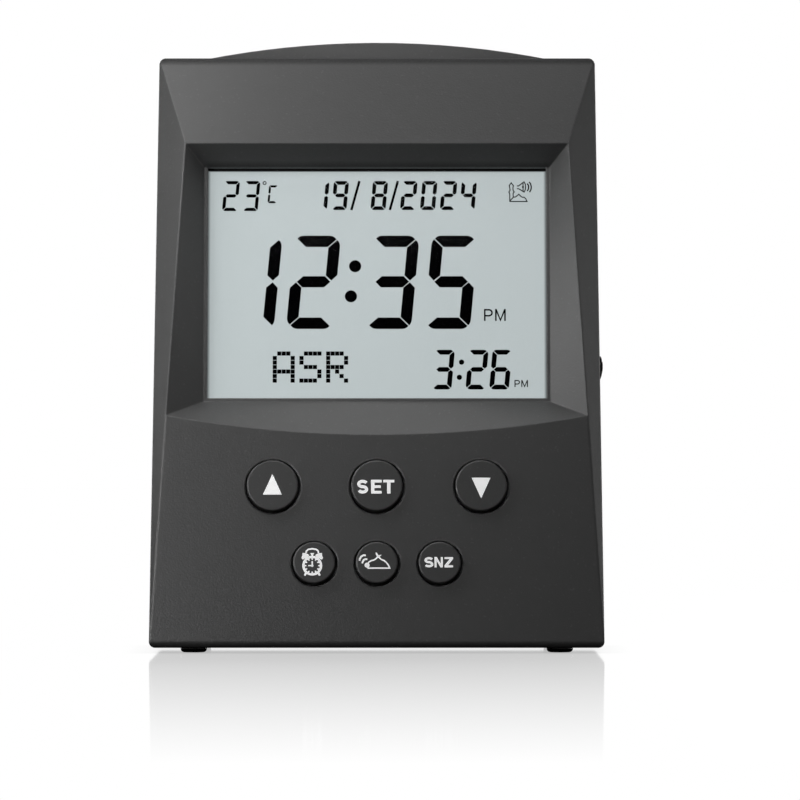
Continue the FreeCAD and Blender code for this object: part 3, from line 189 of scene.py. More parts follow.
# %% Patterns, relief and edges
BEVEL_SAMPLES = 4
EDGE_START = 0.01
EDGE_FULL = 0.25


class Finish(Network):
    """A material, with the nodes behind its shader."""

    def __init__(self, name, **constants):
        self.material = bpy.data.materials.new(name)
        self.material.use_nodes = True
        super().__init__(self.material.node_tree)
        self.shader = self.tree.nodes["Principled BSDF"]
        for socket, constant in constants.items():
            self.shader.inputs[socket.replace("_", " ")].default_value = constant

    def feed(self, socket, content):
        self.link(content, self.shader.inputs[socket])

    def place(self):
        """The point's place in the clock's frame."""
        return self.node("TexCoord", output="Object")

    def axis(self, name):
        """One coordinate of the point's place."""
        return self.node("SeparateXYZ", None, {0: self.place()}, output=name)

    def product(self, first, second):
        """The dot product of two directions."""
        return self.node("VectorMath", {"operation": "DOT_PRODUCT"}, {0: first, 1: second}, output="Value")

    def along(self, direction):
        """How far the point lies along a direction."""
        return self.product(self.place(), direction)

    def noise(self, grain, detail=2.0, roughness=0.5):
        """Soft noise whose spots are about one grain wide, between 0 and 1."""
        sockets = {"Vector": self.place(), "Scale": 1 / grain, "Detail": detail, "Roughness": roughness}
        return self.node("TexNoise", None, sockets)

    def bands(self, place, pitch):
        """A wave between 0 and 1 that repeats at a pitch along one coordinate."""
        turn = place * (2 * math.pi / pitch)
        return turn.math("SINE", turn) * 0.5 + 0.5

    def mix(self, first, second, share):
        """One colour turning into another as the share grows from 0 to 1."""
        return self.node("Mix", {"data_type": "RGBA"}, {0: share, 6: first, 7: second}, output=2)

    def bump(self, height, depth, rounded=None):
        """Relief on the surface, or on the softened surface that rounded() gives."""
        sockets = {"Height": height, "Distance": depth}
        if rounded:
            sockets["Normal"] = rounded
        self.feed("Normal", self.node("Bump", None, sockets, output="Normal"))

    def rounded(self, radius):
        """The surface's direction as if its edges were rounded to a radius."""
        return self.node("Bevel", {"samples": BEVEL_SAMPLES}, {"Radius": radius})

    def edges(self, rounded):
        """Nears 1 where the rounded surface turns away from the true one, such as along an edge."""
        true = self.node("NewGeometry", output="True Normal")
        return self.range(1 - self.product(rounded, true), 0.0, 1.0, EDGE_START, EDGE_FULL)


def grey(level):
    """A grey as it looks on a screen, from 0 to 255, as linear light."""
    share = level / 255
    linear = share / 12.92 if share < 0.04045 else ((share + 0.055) / 1.055) ** 2.4
    return (linear, linear, linear, 1.0)


def colour(red, green, blue):
    return (grey(red)[0], grey(green)[0], grey(blue)[0], 1.0)


def darker(tint, share):
    return tuple(share * part for part in tint[:3]) + (1.0,)


print("a middle grey of 128 is", round(grey(128)[0], 3), "as linear light")

# %% [markdown]
# Some rims of the case are painted. The rims of the key holes are painted paler, a painted highlight
# where their edges catch the light. The header's rounded upper rim and the frame's rim above the display
# are painted darker, a painted shade that makes them look like soft dark lines. Each such place is a
# mask, worked out from the solids: the keys' own middles and sizes, the header's height, and the hole
# that the window closes.

# %% Painted rim highlight and painted rim shade
WINDOW = "display_window"
KEYS = [body.removesuffix("_button") for body in frame["bodies"] if body.endswith("_button")]
# How far past the keys' edges the painted highlight on the hole rims reaches.
RIM_HIGHLIGHT_WIDTH = 0.8 * MM
HOLE_MARGIN = 0.3 * MM
SAME_PLANE = 0.05 * MM
HEADER_TOP = reach("front_shell", Vector((0, 0, 1)))[1]
ROUNDING_START = 1.5 * MM
ROUNDING_SHADED = 0.7 * MM
RIM_BACK = 7 * MM
RIM_FADE = 0.5 * MM


def rim_highlight_area(finish):
    """1 in the panel's face close around the keys, where the rims get a painted highlight."""
    across, up = finish.axis("X"), finish.along(UPWARD)
    rims = []
    for key in KEYS:
        low, high = reach(key, ACROSS)
        aside, above = across - middle(key, ACROSS), up - middle(key, UPWARD)
        rims.append(((high - low) / 2 + RIM_HIGHLIGHT_WIDTH) ** 2 - (aside * aside + above * above) > 0)
    return highest(*rims) * (middle("key_set", INWARD) - finish.along(INWARD) > 0)


def light_opening():
    """The limits, across and up, of the hole in front of the display, read from the shell's points."""
    front = reach(WINDOW, INWARD)[0]
    limits = [reach(WINDOW, direction) for direction in (ACROSS, UPWARD)]
    spots = []
    for vertex in nodes["front_shell"].data.vertices:
        spot = [vertex.co.dot(direction) for direction in (ACROSS, UPWARD)]
        inside = all(low + HOLE_MARGIN < place < high - HOLE_MARGIN
                     for place, (low, high) in zip(spot, limits))
        if inside and abs(vertex.co.dot(INWARD) - front) < SAME_PLANE:
            spots.append(spot)
    return [(min(places), max(places)) for places in zip(*spots)]


def upper_rim_shade(finish):
    """Nears 1 on the header's rounded upper rim, where shade is painted."""
    below = HEADER_TOP - finish.axis("Z")
    high = finish.range(below, 1.0, 0.0, ROUNDING_SHADED, ROUNDING_START)
    return high * finish.range(finish.axis("Y"), 1.0, 0.0, RIM_BACK - RIM_FADE, RIM_BACK + RIM_FADE)


def display_rim_shade(finish):
    """Nears 1 on the frame's rim above the display, where shade is painted."""
    (left, right), (low, top) = light_opening()
    half = (right - left) / 2
    front = reach(WINDOW, INWARD)[0]
    above = finish.along(UPWARD) - top
    aside = abs(finish.axis("X") - (left + right) / 2)
    line = finish.range(above, 0.0, 1.0, -0.4 * MM, 0.0) * finish.range(above, 1.0, 0.0, 0.3 * MM, 1.1 * MM)
    line = line * finish.range(aside, 1.0, 0.0, half, half + 1 * MM)
    return line * finish.range(finish.along(INWARD), 1.0, 0.0, front + 1 * MM, front + 2 * MM)


# Where shade is painted on the rims.
def painted_rim_shade(finish):
    return highest(upper_rim_shade(finish), display_rim_shade(finish))


print("the display's hole is", *(round((high - low) / MM, 2) for low, high in light_opening()), "mm")

# %% [markdown]
# The case, the door and the keys are moulded in one dark plastic. Its mould was spark-eroded, which
# leaves a fine sand-like grain about a third of a millimetre across. The grain catches the light mostly
# through its slopes, so it is made as a bump. Handling polishes the edges a little, so they are smoother.
# They are painted a touch paler than the faces, partly as wear and partly as a painted highlight along the
# ridges. The parts that nobody handles are plain mouldings: a colour, with the faint cloud that the
# plastic leaves where it flowed.

# %% Moulded plastics
UNEVEN = 5
SPECK = 10
# How much paler the edges are painted: wear and a painted highlight.
EDGE_WEAR_AND_HIGHLIGHT = 40
# How much paler the key holes' rims are painted: a painted highlight.
RIM_HIGHLIGHT_LIFT = 90
# The grey of the painted shade on the rims.
PAINTED_SHADE_GREY = 28


def textured_plastic(name, level, grain, depth, rough, soft_edge, rim_highlight=None, rim_shade=None):
    """Dark moulded plastic with a spark-eroded grain. Its edges are paler, from wear and a painted
    highlight, and some rims can get a painted highlight or painted shade.
    """
    finish = Finish(name, Specular_IOR_Level=0.7)
    fine = finish.noise(grain, 3.0, 0.6)
    patches = finish.noise(grain * 6, 2.0)
    specks = finish.range(finish.noise(grain * 1.3, 0.0), 0.0, 1.0, 0.74, 0.8)
    rounded = finish.rounded(soft_edge)
    edge_wear_and_highlight = finish.edges(rounded)
    body = finish.mix(grey(level - UNEVEN), grey(level + UNEVEN), fine * 0.6 + patches * 0.4)
    body = finish.mix(body, grey(level + SPECK), specks)
    # Edges are painted paler: partly wear, partly a painted highlight along the ridges.
    body = finish.mix(body, grey(level + EDGE_WEAR_AND_HIGHLIGHT), edge_wear_and_highlight)
    roughness = finish.range(fine, rough - 0.08, rough + 0.08, 0.3, 0.7) - edge_wear_and_highlight * 0.1
    # The key holes' rims get a painted highlight.
    if rim_highlight:
        near_edge = finish.range(edge_wear_and_highlight, 0.0, 1.0, 0.0, 0.4)
        body = finish.mix(body, grey(level + RIM_HIGHLIGHT_LIFT), near_edge * rim_highlight(finish))
    # The shaded rims are painted darker: painted shade.
    if rim_shade:
        shade = rim_shade(finish)
        body = finish.mix(body, grey(PAINTED_SHADE_GREY), shade)
        roughness = roughness + shade * 0.25
    finish.feed("Base Color", body)
    finish.feed("Roughness", roughness)
    finish.bump(fine * 0.7 + patches * 0.3, depth, rounded)
    return finish.material


def smooth_plastic(name, tint, rough, grain=2.0 * MM):
    """Plain moulded plastic with faint flow marks."""
    finish = Finish(name)
    flow = finish.noise(grain, 3.0)
    finish.feed("Base Color", finish.mix(darker(tint, 0.9), tint, flow))
    finish.feed("Roughness", finish.range(flow, rough - 0.05, rough + 0.05, 0.3, 0.7))
    finish.bump(flow, 0.01 * MM)
    return finish.material


finishes = {
    "case_plastic": textured_plastic("case_plastic", 54, grain=0.36 * MM, depth=0.05 * MM, rough=0.40,
                                     soft_edge=0.45 * MM, rim_highlight=rim_highlight_area, rim_shade=painted_rim_shade),
    "key_plastic": textured_plastic("key_plastic", 54, grain=0.26 * MM, depth=0.02 * MM, rough=0.36,
                                    soft_edge=0.22 * MM),
    "wheel_plastic": smooth_plastic("wheel_plastic", grey(22), 0.25),
    "switch_plastic": smooth_plastic("switch_plastic", grey(30), 0.4),
    "white_plastic": smooth_plastic("white_plastic", grey(228), 0.45),
    "resin": smooth_plastic("resin", grey(24), 0.22, 1.0 * MM),
    "lamp_resin": smooth_plastic("lamp_resin", colour(232, 226, 170), 0.3),
    "light_guide": smooth_plastic("light_guide", colour(226, 232, 236), 0.35, 0.5 * MM),
    "foot_rubber": smooth_plastic("foot_rubber", grey(20), 0.3, 0.6 * MM),
    "cone_paper": smooth_plastic("cone_paper", grey(44), 0.85, 0.25 * MM),
    "magnet_ferrite": smooth_plastic("magnet_ferrite", grey(58), 0.7, 0.4 * MM),
    "capacitor_sleeve": smooth_plastic("capacitor_sleeve", colour(34, 42, 66), 0.3),
}
print(len(finishes), "moulded finishes")

# %% [markdown]
# The contacts are plated with nickel and the screws with zinc, and the speaker's basket is rolled steel.
# They differ in how evenly they shine. All get a soft cloudy noise in the roughness, and dull spots.

# %% Metals
def cloudy_metal(name, tint, rough, grain):
    """Metal with uneven shine."""
    finish = Finish(name, Metallic=1.0)
    cloud = finish.noise(grain, 4.0, 0.65)
    spots = finish.range(cloud, 0.0, 1.0, 0.35, 0.6)
    finish.feed("Base Color", finish.mix(darker(tint, 0.75), tint, spots))
    finish.feed("Roughness", finish.range(cloud, rough + 0.12, rough - 0.05, 0.3, 0.7))
    finish.bump(cloud, 0.004 * MM)
    return finish.material


METALS = {
    "bright_metal": (colour(214, 212, 206), 0.18, 0.8 * MM),
    "pressed_steel": (colour(178, 180, 184), 0.35, 0.6 * MM),
    "screw_steel": (colour(170, 168, 164), 0.3, 0.4 * MM),
}
for name, (tint, rough, grain) in METALS.items():
    finishes[name] = cloudy_metal(name, tint, rough, grain)
print(len(METALS), "metals")

# %% [markdown]
# A battery cell is a steel can in a printed sleeve. Here the sleeve is plain: a dark body with one
# lighter ring towards each end, and the bare can shows at the very ends. The pattern follows the cell's
# length, which lies across the clock.

# %% Cells
CAN_END = 25.3 * MM
RING_START = 14.0 * MM
RING_END = 15.2 * MM


def cell_sleeve():
    """A cell's sleeve, with bare metal at both ends and a light ring towards each."""
    finish = Finish("cell_wrap", Coat_Roughness=0.1)
    aside = abs(finish.axis("X"))
    bare = aside > CAN_END
    ring = (aside > RING_START) * (1 - (aside > RING_END))
    scuffs = finish.noise(1.5 * MM, 4.0, 0.6)
    sleeve = finish.mix(colour(30, 52, 78), colour(42, 66, 94), scuffs)
    sleeve = finish.mix(sleeve, colour(206, 202, 190), ring)
    finish.feed("Base Color", finish.mix(sleeve, colour(196, 196, 192), bare))
    finish.feed("Metallic", bare)
    finish.feed("Roughness", finish.range(scuffs, 0.22, 0.36, 0.3, 0.7))
    finish.feed("Coat Weight", 0.4 - bare * 0.4)
    finish.bump(scuffs, 0.006 * MM)
    return finish.material


finishes["cell_wrap"] = cell_sleeve()
print("cells reach", round(reach("cell_lower", ACROSS)[1] / MM, 2), "mm to the right")

# %% [markdown]
# The circuit board is glass cloth under green lacquer, and the cloth's weave shows faintly. Copper
# tracks lie under the lacquer as paler lines. The contact strips are layers of clear and black rubber,
# three pairs to the millimetre.

# %% Board and contact strips
WEAVE_PITCH = 0.5 * MM
TRACK_PITCH = 1.3 * MM
TRACK_FIELD = 9.0 * MM
LAYER_PITCH = 0.33 * MM


def lacquered_board():
    """Green lacquer over a weave, with paler stripes where copper lies under it."""
    finish = Finish("board_laminate", Coat_Weight=0.3, Coat_Roughness=0.15)
    across, up = finish.axis("X"), finish.axis("Z")
    weave = finish.bands(across, WEAVE_PITCH) * finish.bands(up, WEAVE_PITCH)
    stripes = finish.range(finish.bands(across + up * 0.5, TRACK_PITCH), 0.0, 1.0, 0.6, 0.7)
    tracks = stripes * (finish.noise(TRACK_FIELD, 0.0) > 0.5)
    lacquer = finish.mix(colour(14, 74, 42), colour(20, 86, 50), weave)
    finish.feed("Base Color", finish.mix(lacquer, colour(52, 122, 74), tracks))
    finish.feed("Roughness", finish.range(weave, 0.3, 0.4))
    finish.bump(tracks * 0.7 + weave * 0.3, 0.02 * MM)
    return finish.material


def layered_rubber():
    """Layers of clear and black rubber across the strip."""
    finish = Finish("strip_rubber")
    layer = finish.bands(finish.axis("X"), LAYER_PITCH) > 0.5
    dust = finish.noise(0.2 * MM)
    pale = finish.mix(colour(196, 178, 184), colour(214, 200, 204), dust)
    finish.feed("Base Color", finish.mix(pale, grey(28), layer))
    finish.feed("Roughness", finish.range(dust, 0.5, 0.7))
    finish.bump(dust, 0.01 * MM)
    return finish.material


finishes["board_laminate"] = lacquered_board()
finishes["strip_rubber"] = layered_rubber()
print(len(finishes), "finishes so far")

# %% [markdown]
# The display is two glass plates with a reflector and a light guide behind them. Seen from the front it
# is an even blue-grey with a very fine sparkle, which is the reflector's grain. Most of that light stands
# for the guide's backlight: the glass has a darker colour of its own, and a painted glow gives the rest.
# Shade is painted along its border, where the hole's rim stands in the way: a soft fade at the sides and
# the bottom, and a black line along the top.

# %% The display's glass
# The strength of the painted glow that stands for the backlight.
PAINTED_BACKLIGHT = 0.85
SOFT_BORDER = 0.5 * MM
# The width of the painted black shade line along the top.
TOP_SHADE_LINE = 0.2 * MM
SPARKLE = 0.09 * MM


def painted_border_shade(finish):
    """Nears 1 where shade is painted on the glass, along the hole's rim."""
    (left, right), (low, top) = light_opening()
    across, up = finish.axis("X"), finish.along(UPWARD)
    inside = lowest(across - left, right - across, up - low)
    sides = finish.range(inside, 0.8, 0.0, 0.0, SOFT_BORDER)
    return highest(sides, finish.range(top - up, 1.0, 0.0, TOP_SHADE_LINE, TOP_SHADE_LINE + SOFT_BORDER / 2))


def display_glass():
    """The reflector's even grey, with a sparkle finer than a hair, lit from behind."""
    # The glass glows with a painted glow for the backlight.
    finish = Finish("display_glass", Specular_IOR_Level=0.3, Emission_Strength=PAINTED_BACKLIGHT)
    sparkle = finish.range(finish.noise(SPARKLE, 1.0), 0.0, 1.0, 0.55, 0.75)
    drift = finish.noise(30.0 * MM, 0.0)
    shade = painted_border_shade(finish)
    base = finish.mix(colour(112, 118, 119), colour(115, 121, 122), drift)
    base = finish.mix(base, colour(119, 126, 127), sparkle)
    # Painted shade darkens the colour and the glow at the border.
    finish.feed("Base Color", finish.mix(base, grey(0), shade))
    painted_backlight_colour = finish.mix(colour(182, 191, 192), colour(192, 200, 201), sparkle)
    finish.feed("Emission Color", finish.mix(painted_backlight_colour, grey(0), shade))
    finish.feed("Roughness", finish.range(sparkle, 0.42, 0.55))
    finish.bump(sparkle, 0.002 * MM)
    return finish.material


finishes["display_glass"] = display_glass()
print("the glass fades over", round(SOFT_BORDER / MM, 2), "mm")

# %% [markdown]
# The window over the display is clear plastic. A thin clear sheet is easiest to make with the shader's
# alpha: most of the light goes straight through, and only a faint sheen is left. A dark segment of the
# display swallows nearly all light. The keys' print is a white ink, and it is given a faint painted glow
# that makes it look whiter.

# %% Window, dark segments and print
# The strength of the print's painted glow.
PAINTED_PRINT_GLOW = 0.22


def clear_window():
    """Clear plastic: nearly all light passes, and fingerprints dull its sheen a little."""
    finish = Finish("clear_window", Base_Color=grey(8), IOR=1.49, Alpha=0.03)
    prints = finish.noise(8.0 * MM, 4.0, 0.6)
    finish.feed("Roughness", finish.range(prints, 0.06, 0.16, 0.3, 0.7))
    return finish.material


def segment_ink():
    """The dark state of the display: nearly black, with a trace of blue."""
    finish = Finish("segment_ink", Specular_IOR_Level=0.0)
    drift = finish.noise(4.0 * MM)
    finish.feed("Base Color", finish.mix(colour(0, 0, 1), colour(3, 3, 4), drift))
    finish.feed("Roughness", finish.range(drift, 0.6, 0.7))
    return finish.material


def key_print():
    """White pad print, thin enough to show a little of the grain under it."""
    # The print glows faintly: a painted glow.
    finish = Finish("key_print", Specular_IOR_Level=0.5, Emission_Strength=PAINTED_PRINT_GLOW)
    fine = finish.noise(0.2 * MM, 2.0)
    white = finish.mix(grey(244), grey(253), finish.range(fine, 0.0, 1.0, 0.35, 0.5))
    finish.feed("Base Color", white)
    finish.feed("Emission Color", white)
    finish.feed("Roughness", finish.range(fine, 0.4, 0.55))
    finish.bump(fine, 0.01 * MM)
    return finish.material


finishes["clear_window"] = clear_window()
dark_ink = segment_ink()
white_ink = key_print()
print(len(finishes), "finishes for solids, and two inks")

# %% [markdown]
# Each solid names the slot that it takes its finish from, so one loop paints them all.

# %% Paint the solids
slot_of = {part["node"]: part["material_slot"] for part in frame["record"]["subparts"]}
for name, solid in nodes.items():
    solid.data.materials.clear()
    solid.data.materials.append(finishes[slot_of[name]])
print("painted", len(nodes), "solids with", len(set(slot_of.values())), "finishes")

# %% [markdown]
# # Flat shapes on the panel
# The display's marks and the keys' print are both thin flat shapes. A flat curve object is made for
# this: it fills its outlines, leaves inner outlines open, and can be given a thickness. Once it is
# turned into a mesh, its points are moved onto the panel.

# %% Flat pieces
WELD = 0.0001 * MM


def flat_mesh(name, outlines, thickness):
    """A mesh of filled outlines, in millimetres, that reaches half its thickness to either side."""
    curve = bpy.data.curves.new(name, "CURVE")
    curve.dimensions = "2D"
    curve.fill_mode = "BOTH"
    curve.extrude = thickness / 2
    for points in outlines:
        spline = curve.splines.new("POLY")
        spline.points.add(len(points) - 1)
        for point, (x, y) in zip(spline.points, points):
            point.co = (x * MM, y * MM, 0, 1)
        spline.use_cyclic_u = True
    holder = bpy.data.objects.new(name, curve)
    bpy.context.scene.collection.objects.link(holder)
    bpy.context.view_layer.update()
    mesh = bpy.data.meshes.new_from_object(holder.evaluated_get(bpy.context.evaluated_depsgraph_get()))
    bpy.data.objects.remove(holder)
    return mesh


def joined(name, meshes):
    """One object that holds several meshes."""
    gathered = bmesh.new()
    for mesh in meshes:
        gathered.from_mesh(mesh)
    bmesh.ops.remove_doubles(gathered, verts=gathered.verts, dist=WELD)
    whole = bpy.data.meshes.new(name)
    gathered.to_mesh(whole)
    gathered.free()
    piece = bpy.data.objects.new(name, whole)
    bpy.context.scene.collection.objects.link(piece)
    return piece


def lay_on_panel(piece, across, up, depth):
    """Moves a flat piece's points so that its middle lies at a place of the panel."""
    turn = Matrix((ACROSS, UPWARD, -INWARD)).transposed().to_4x4()
    piece.data.transform(Matrix.Translation(panel_place(across, up, depth)) @ turn)
    return piece


def ride(piece, body, material):
    """Gives a piece its finish and the body that it moves with."""
    piece.data.materials.clear()
    piece.data.materials.append(material)
    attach(piece, body)
    return piece


print("up the panel is the direction", *(round(part, 3) for part in UPWARD))

# %% [markdown]
# All outlines are lists of points in millimetres. Round ones come from an arc. A line of even width is
# drawn by walking along its points and stepping aside to the left and to the right, further at a bend,
# so that the line keeps its width there.

# %% Arcs, dots and strokes
SHARPEST = 0.5


def turns(start, stop, steps):
    """Angles from one to another, given in degrees."""
    return [math.radians(start + (stop - start) * step / steps) for step in range(steps + 1)]


def arc(across, up, radius, start, stop, steps):
    """Points along an arc."""
    return [(across + radius * math.cos(turn), up + radius * math.sin(turn))
            for turn in turns(start, stop, steps)]


def dot(across, up, radius, steps=24):
    return arc(across, up, radius, 0, 360, steps)[:-1]


def stroke(points, width):
    """The outline of a line of even width through some points."""
    left, right = [], []
    for index, point in enumerate(points):
        before = Vector(points[max(index - 1, 0)])
        after = Vector(points[min(index + 1, len(points) - 1)])
        here = Vector(point)
        steps = [step.normalized() for step in (here - before, after - here) if step.length > 0]
        along = sum(steps, Vector((0, 0))).normalized()
        normal = Vector((-along.y, along.x))
        half = width / 2 / max(steps[0].dot(along), SHARPEST)
        left.append(tuple(here + normal * half))
        right.append(tuple(here - normal * half))
    return left + right[::-1]


def mirrored(points):
    return [(-x, y) for x, y in points]


def moved(shapes, across, up):
    return [[(x + across, y + up) for x, y in points] for points in shapes]


print("a dot has", len(dot(0, 0, 1)), "points")

# %% [markdown]
# # The display's marks
# The digits have seven segments each. The segments are mitred where they meet, with a hair's gap
# between them, their outer corners are cut round, and the whole digit leans to the right. The lower
# half is the upper half turned upside down, so only four segments are drawn.

# %% One segment
OPPOSITE = {"d": "a", "e": "b", "c": "f"}


def bent(start, corner, stop):
    """Points along a curve that leaves one point towards a corner and arrives at another."""
    shares = (0, 0.25, 0.5, 0.75, 1)
    return [tuple((1 - t) ** 2 * start[i] + 2 * t * (1 - t) * corner[i] + t * t * stop[i] for i in (0, 1))
            for t in shares]


def upper_segment(letter, width, height, line, gap, centre):
    """The outline of one of the upper segments of an upright digit, or of its middle bar."""
    inner = height - line
    if letter == "g":
        level = height / 2 + 0.04 * line
        tip, corner, half = 0.47 * line + gap, 0.98 * line + gap, 0.49 * line
        return [(tip, level), (corner, level + half), (width - corner, level + half), (width - tip, level),
                (width - corner, level - half), (corner, level - half)]
    if letter == "a":
        left_tip = (0.22 * line + 0.4 * gap, height - 0.29 * line + 0.35 * gap)
        right_tip = (width - 0.33 * line - 0.4 * gap, height - 0.36 * line + 0.35 * gap)
        top = bent(left_tip, (0.45 * line, height), (0.78 * line, height))
        top += bent((width - 1.03 * line, height), (width - 0.62 * line, height), right_tip)
        return top + [(width - line - 0.75 * gap, inner), (line + 0.75 * gap, inner)]
    waist = [centre + 0.56 * line, centre + 1.05 * gap, centre + 0.53 * line]
    if letter == "b":
        tip = (width - 0.33 * line + 0.4 * gap, height - 0.36 * line - 0.35 * gap)
        side = bent(tip, (width, height - 0.62 * line), (width, height - 1.05 * line))
        return side + [(width, waist[0]), (width - 0.48 * line, waist[1]), (width - line, waist[2]),
                       (width - line, inner - 0.75 * gap)]
    tip = (0.22 * line - 0.4 * gap, height - 0.29 * line - 0.35 * gap)
    side = bent(tip, (0, height - 0.5 * line), (0, height - 0.9 * line))
    return side + [(0, waist[0]), (0.48 * line, waist[1]), (line, waist[2]), (line, inner - 0.75 * gap)]


def segment(letter, width, height, line, gap):
    """The outline of one segment of an upright digit."""
    rise = 0.07 * line
    if letter in OPPOSITE:
        points = upper_segment(OPPOSITE[letter], width, height, line, gap, height / 2 - rise)
        return [(width - x, height - y) for x, y in points]
    return upper_segment(letter, width, height, line, gap, height / 2 + rise)


print("the top segment has", len(segment("a", 9, 18, 2, 0.2)), "points")

# %% [markdown]
# A digit is a choice of segments. The display has a large row for the time, a small row for the next
# prayer, one for the date and one for the temperature. All places are in millimetres from the middle of
# the glass, and a row is given by the left end of each digit, its foot, its width, its height, the
# width of its lines and the gap between them.

# %% Rows of digits
SEGMENTS = {"0": "abcdef", "1": "bc", "2": "abged", "3": "abgcd", "4": "fgbc", "5": "afgcd",
            "6": "afgedc", "8": "abcdefg", "9": "abcdfg", "C": "afed"}
DIGIT_LEAN = math.tan(math.radians(5.2))


def digit(character, left, low, width, height, line, gap):
    """The outlines of one leaning digit."""
    drawn = []
    for letter in SEGMENTS[character]:
        points = segment(letter, width, height, line, gap)
        drawn.append([(left + x + y * DIGIT_LEAN, low + y) for x, y in points])
    return drawn


def row(text, lefts, low, width, height, line, gap):
    """The outlines of a row of digits."""
    return [shape for character, left in zip(text, lefts)
            for shape in digit(character, left, low, width, height, line, gap)]


big_row = row("1235", (-28.62, -17.43, -2.36, 8.92), -8.62, 8.88, 18.25, 2.22, 0.17)
big_row += [dot(-4.19, 3.64, 1.17, 40), dot(-4.99, -2.25, 1.17, 40)]
small_row = row("326", (10.43, 16.87, 21.40), -20.41, 3.78, 7.71, 0.93, 0.12)
small_row += [dot(16.16, -15.09, 0.51), dot(15.74, -18.05, 0.51)]
date_row = row("1982024", (-12.54, -8.80, -1.30, 4.37, 8.19, 12.0, 15.76), 14.66, 2.92, 5.7, 0.74, 0.11)
date_row += [stroke([(-4.93, 14.66), (-3.39, 20.36)], 0.48), stroke([(2.45, 14.66), (3.99, 20.36)], 0.48)]
heat_row = row("23", (-29.77, -25.85), 14.46, 2.93, 5.9, 0.64, 0.1)
heat_row += row("C", (-21.05,), 16.0, 1.75, 3.52, 0.42, 0.07)
heat_row += [dot(-21.60, 19.97, 0.38), dot(-21.60, 19.97, 0.2)]
print(len(big_row + small_row + date_row + heat_row), "segments and dots")

# %% [markdown]
# The prayer's name is drawn with square dots in a field of five by seven for each letter.

# %% Dot letters
LETTERS = {
    "A": (".XXX.", "X...X", "X...X", "X...X", "XXXXX", "X...X", "X...X"),
    "S": (".XXXX", "X....", "X....", ".XXX.", "....X", "....X", "XXXX."),
    "R": ("XXXX.", "X...X", "X...X", "XXXX.", "X.X..", "X..X.", "X...X"),
}
DOT_PITCH = 0.855
ROW_PITCH = 0.878
DOT_SIDE = 0.80
LETTER_PITCH = 5.1
NAME_LEFT = -19.92
NAME_TOP = -13.02


def dot_letter(letter, left, top):
    """Square dots for one letter."""
    squares = []
    for line, marks in enumerate(LETTERS[letter]):
        for column, mark in enumerate(marks):
            if mark == "X":
                x = left + column * DOT_PITCH
                y = top - line * ROW_PITCH
                squares.append([(x, y), (x + DOT_SIDE, y), (x + DOT_SIDE, y - DOT_SIDE), (x, y - DOT_SIDE)])
    return squares


name_row = [square for index, letter in enumerate("ASR")
            for square in dot_letter(letter, NAME_LEFT + index * LETTER_PITCH, NAME_TOP)]
print(len(name_row), "square dots")

# %% [markdown]
# The display's corner sign stands for the call to prayer: a slim tower, a low dome beside it, and a
# loudspeaker with two waves. It is drawn with hair-thin strokes, and so are the letters that mark the
# second half of the day.

# %% Thin signs
HAIR = 0.2


def call_sign():
    """A tower, a dome and a loudspeaker in thin strokes."""
    tower = [(25.47, 16.35), (25.47, 17.83), (25.29, 18.19), (25.53, 18.55), (25.47, 19.06), (25.36, 19.45),
             (25.74, 20.01), (26.18, 19.45), (26.08, 19.06), (26.1, 18.55), (26.32, 18.22), (26.1, 17.91),
             (26.13, 17.27)]
    dome = [(25.47, 16.43), (26.18, 17.21), (26.51, 17.21), (26.84, 17.44), (27.2, 17.77), (27.5, 17.44),
            (27.83, 17.18), (28.21, 17.18), (28.54, 16.88), (28.68, 16.48), (28.82, 16.34)]
    base = [(25.4, 16.34), (28.9, 16.34)]
    horn = [(26.84, 19.42), (27.12, 19.37), (28.21, 20.2), (28.46, 19.73), (28.5, 19.17), (28.43, 18.61),
            (28.21, 18.19), (27.17, 18.86), (26.84, 18.84)]
    rim = [(28.02, 19.95), (28.02, 18.35)]
    waves = [[(28.79, 19.87), (29.04, 19.56), (29.09, 19.17), (29.04, 18.78), (28.82, 18.39)],
             [(29.2, 20.18), (29.48, 19.79), (29.61, 19.17), (29.53, 18.67), (29.28, 18.16)]]
    lines = [stroke(line, HAIR) for line in (tower, dome, base, horn, rim)]
    return lines + [stroke(wave, 1.25 * HAIR) for wave in waves] + [dot(28.0, 19.2, 0.2)]


def half_day_sign(left, low, width, height, line):
    """The letters P and M in thin strokes, in a field of a given size."""
    round_end = [(0.23 + 0.14 * math.sin(turn), 0.68 + 0.25 * math.cos(turn))
                 for turn in (0.4, 0.8, 1.2, 1.57, 1.94, 2.34, 2.74)]
    bowl = [(0.04, 0.93), (0.23, 0.93), *round_end, (0.23, 0.43), (0.04, 0.43)]
    slopes = [(0.55, 0.97), (0.755, 0.06), (0.96, 0.97)]
    lines = [[(0.035, 0), (0.035, 1)], bowl, [(0.545, 0), (0.545, 1)], slopes, [(0.965, 0), (0.965, 1)]]
    return [stroke([(left + x * width, low + y * height) for x, y in points], line) for points in lines]


thin_signs = call_sign()
thin_signs += half_day_sign(20.47, -7.05, 4.16, 2.33, 0.3)
thin_signs += half_day_sign(26.27, -19.94, 2.55, 1.36, 0.2)
print(len(thin_signs), "thin strokes")

# %% [markdown]
# All marks become one thin piece that lies on the front glass, under the window.

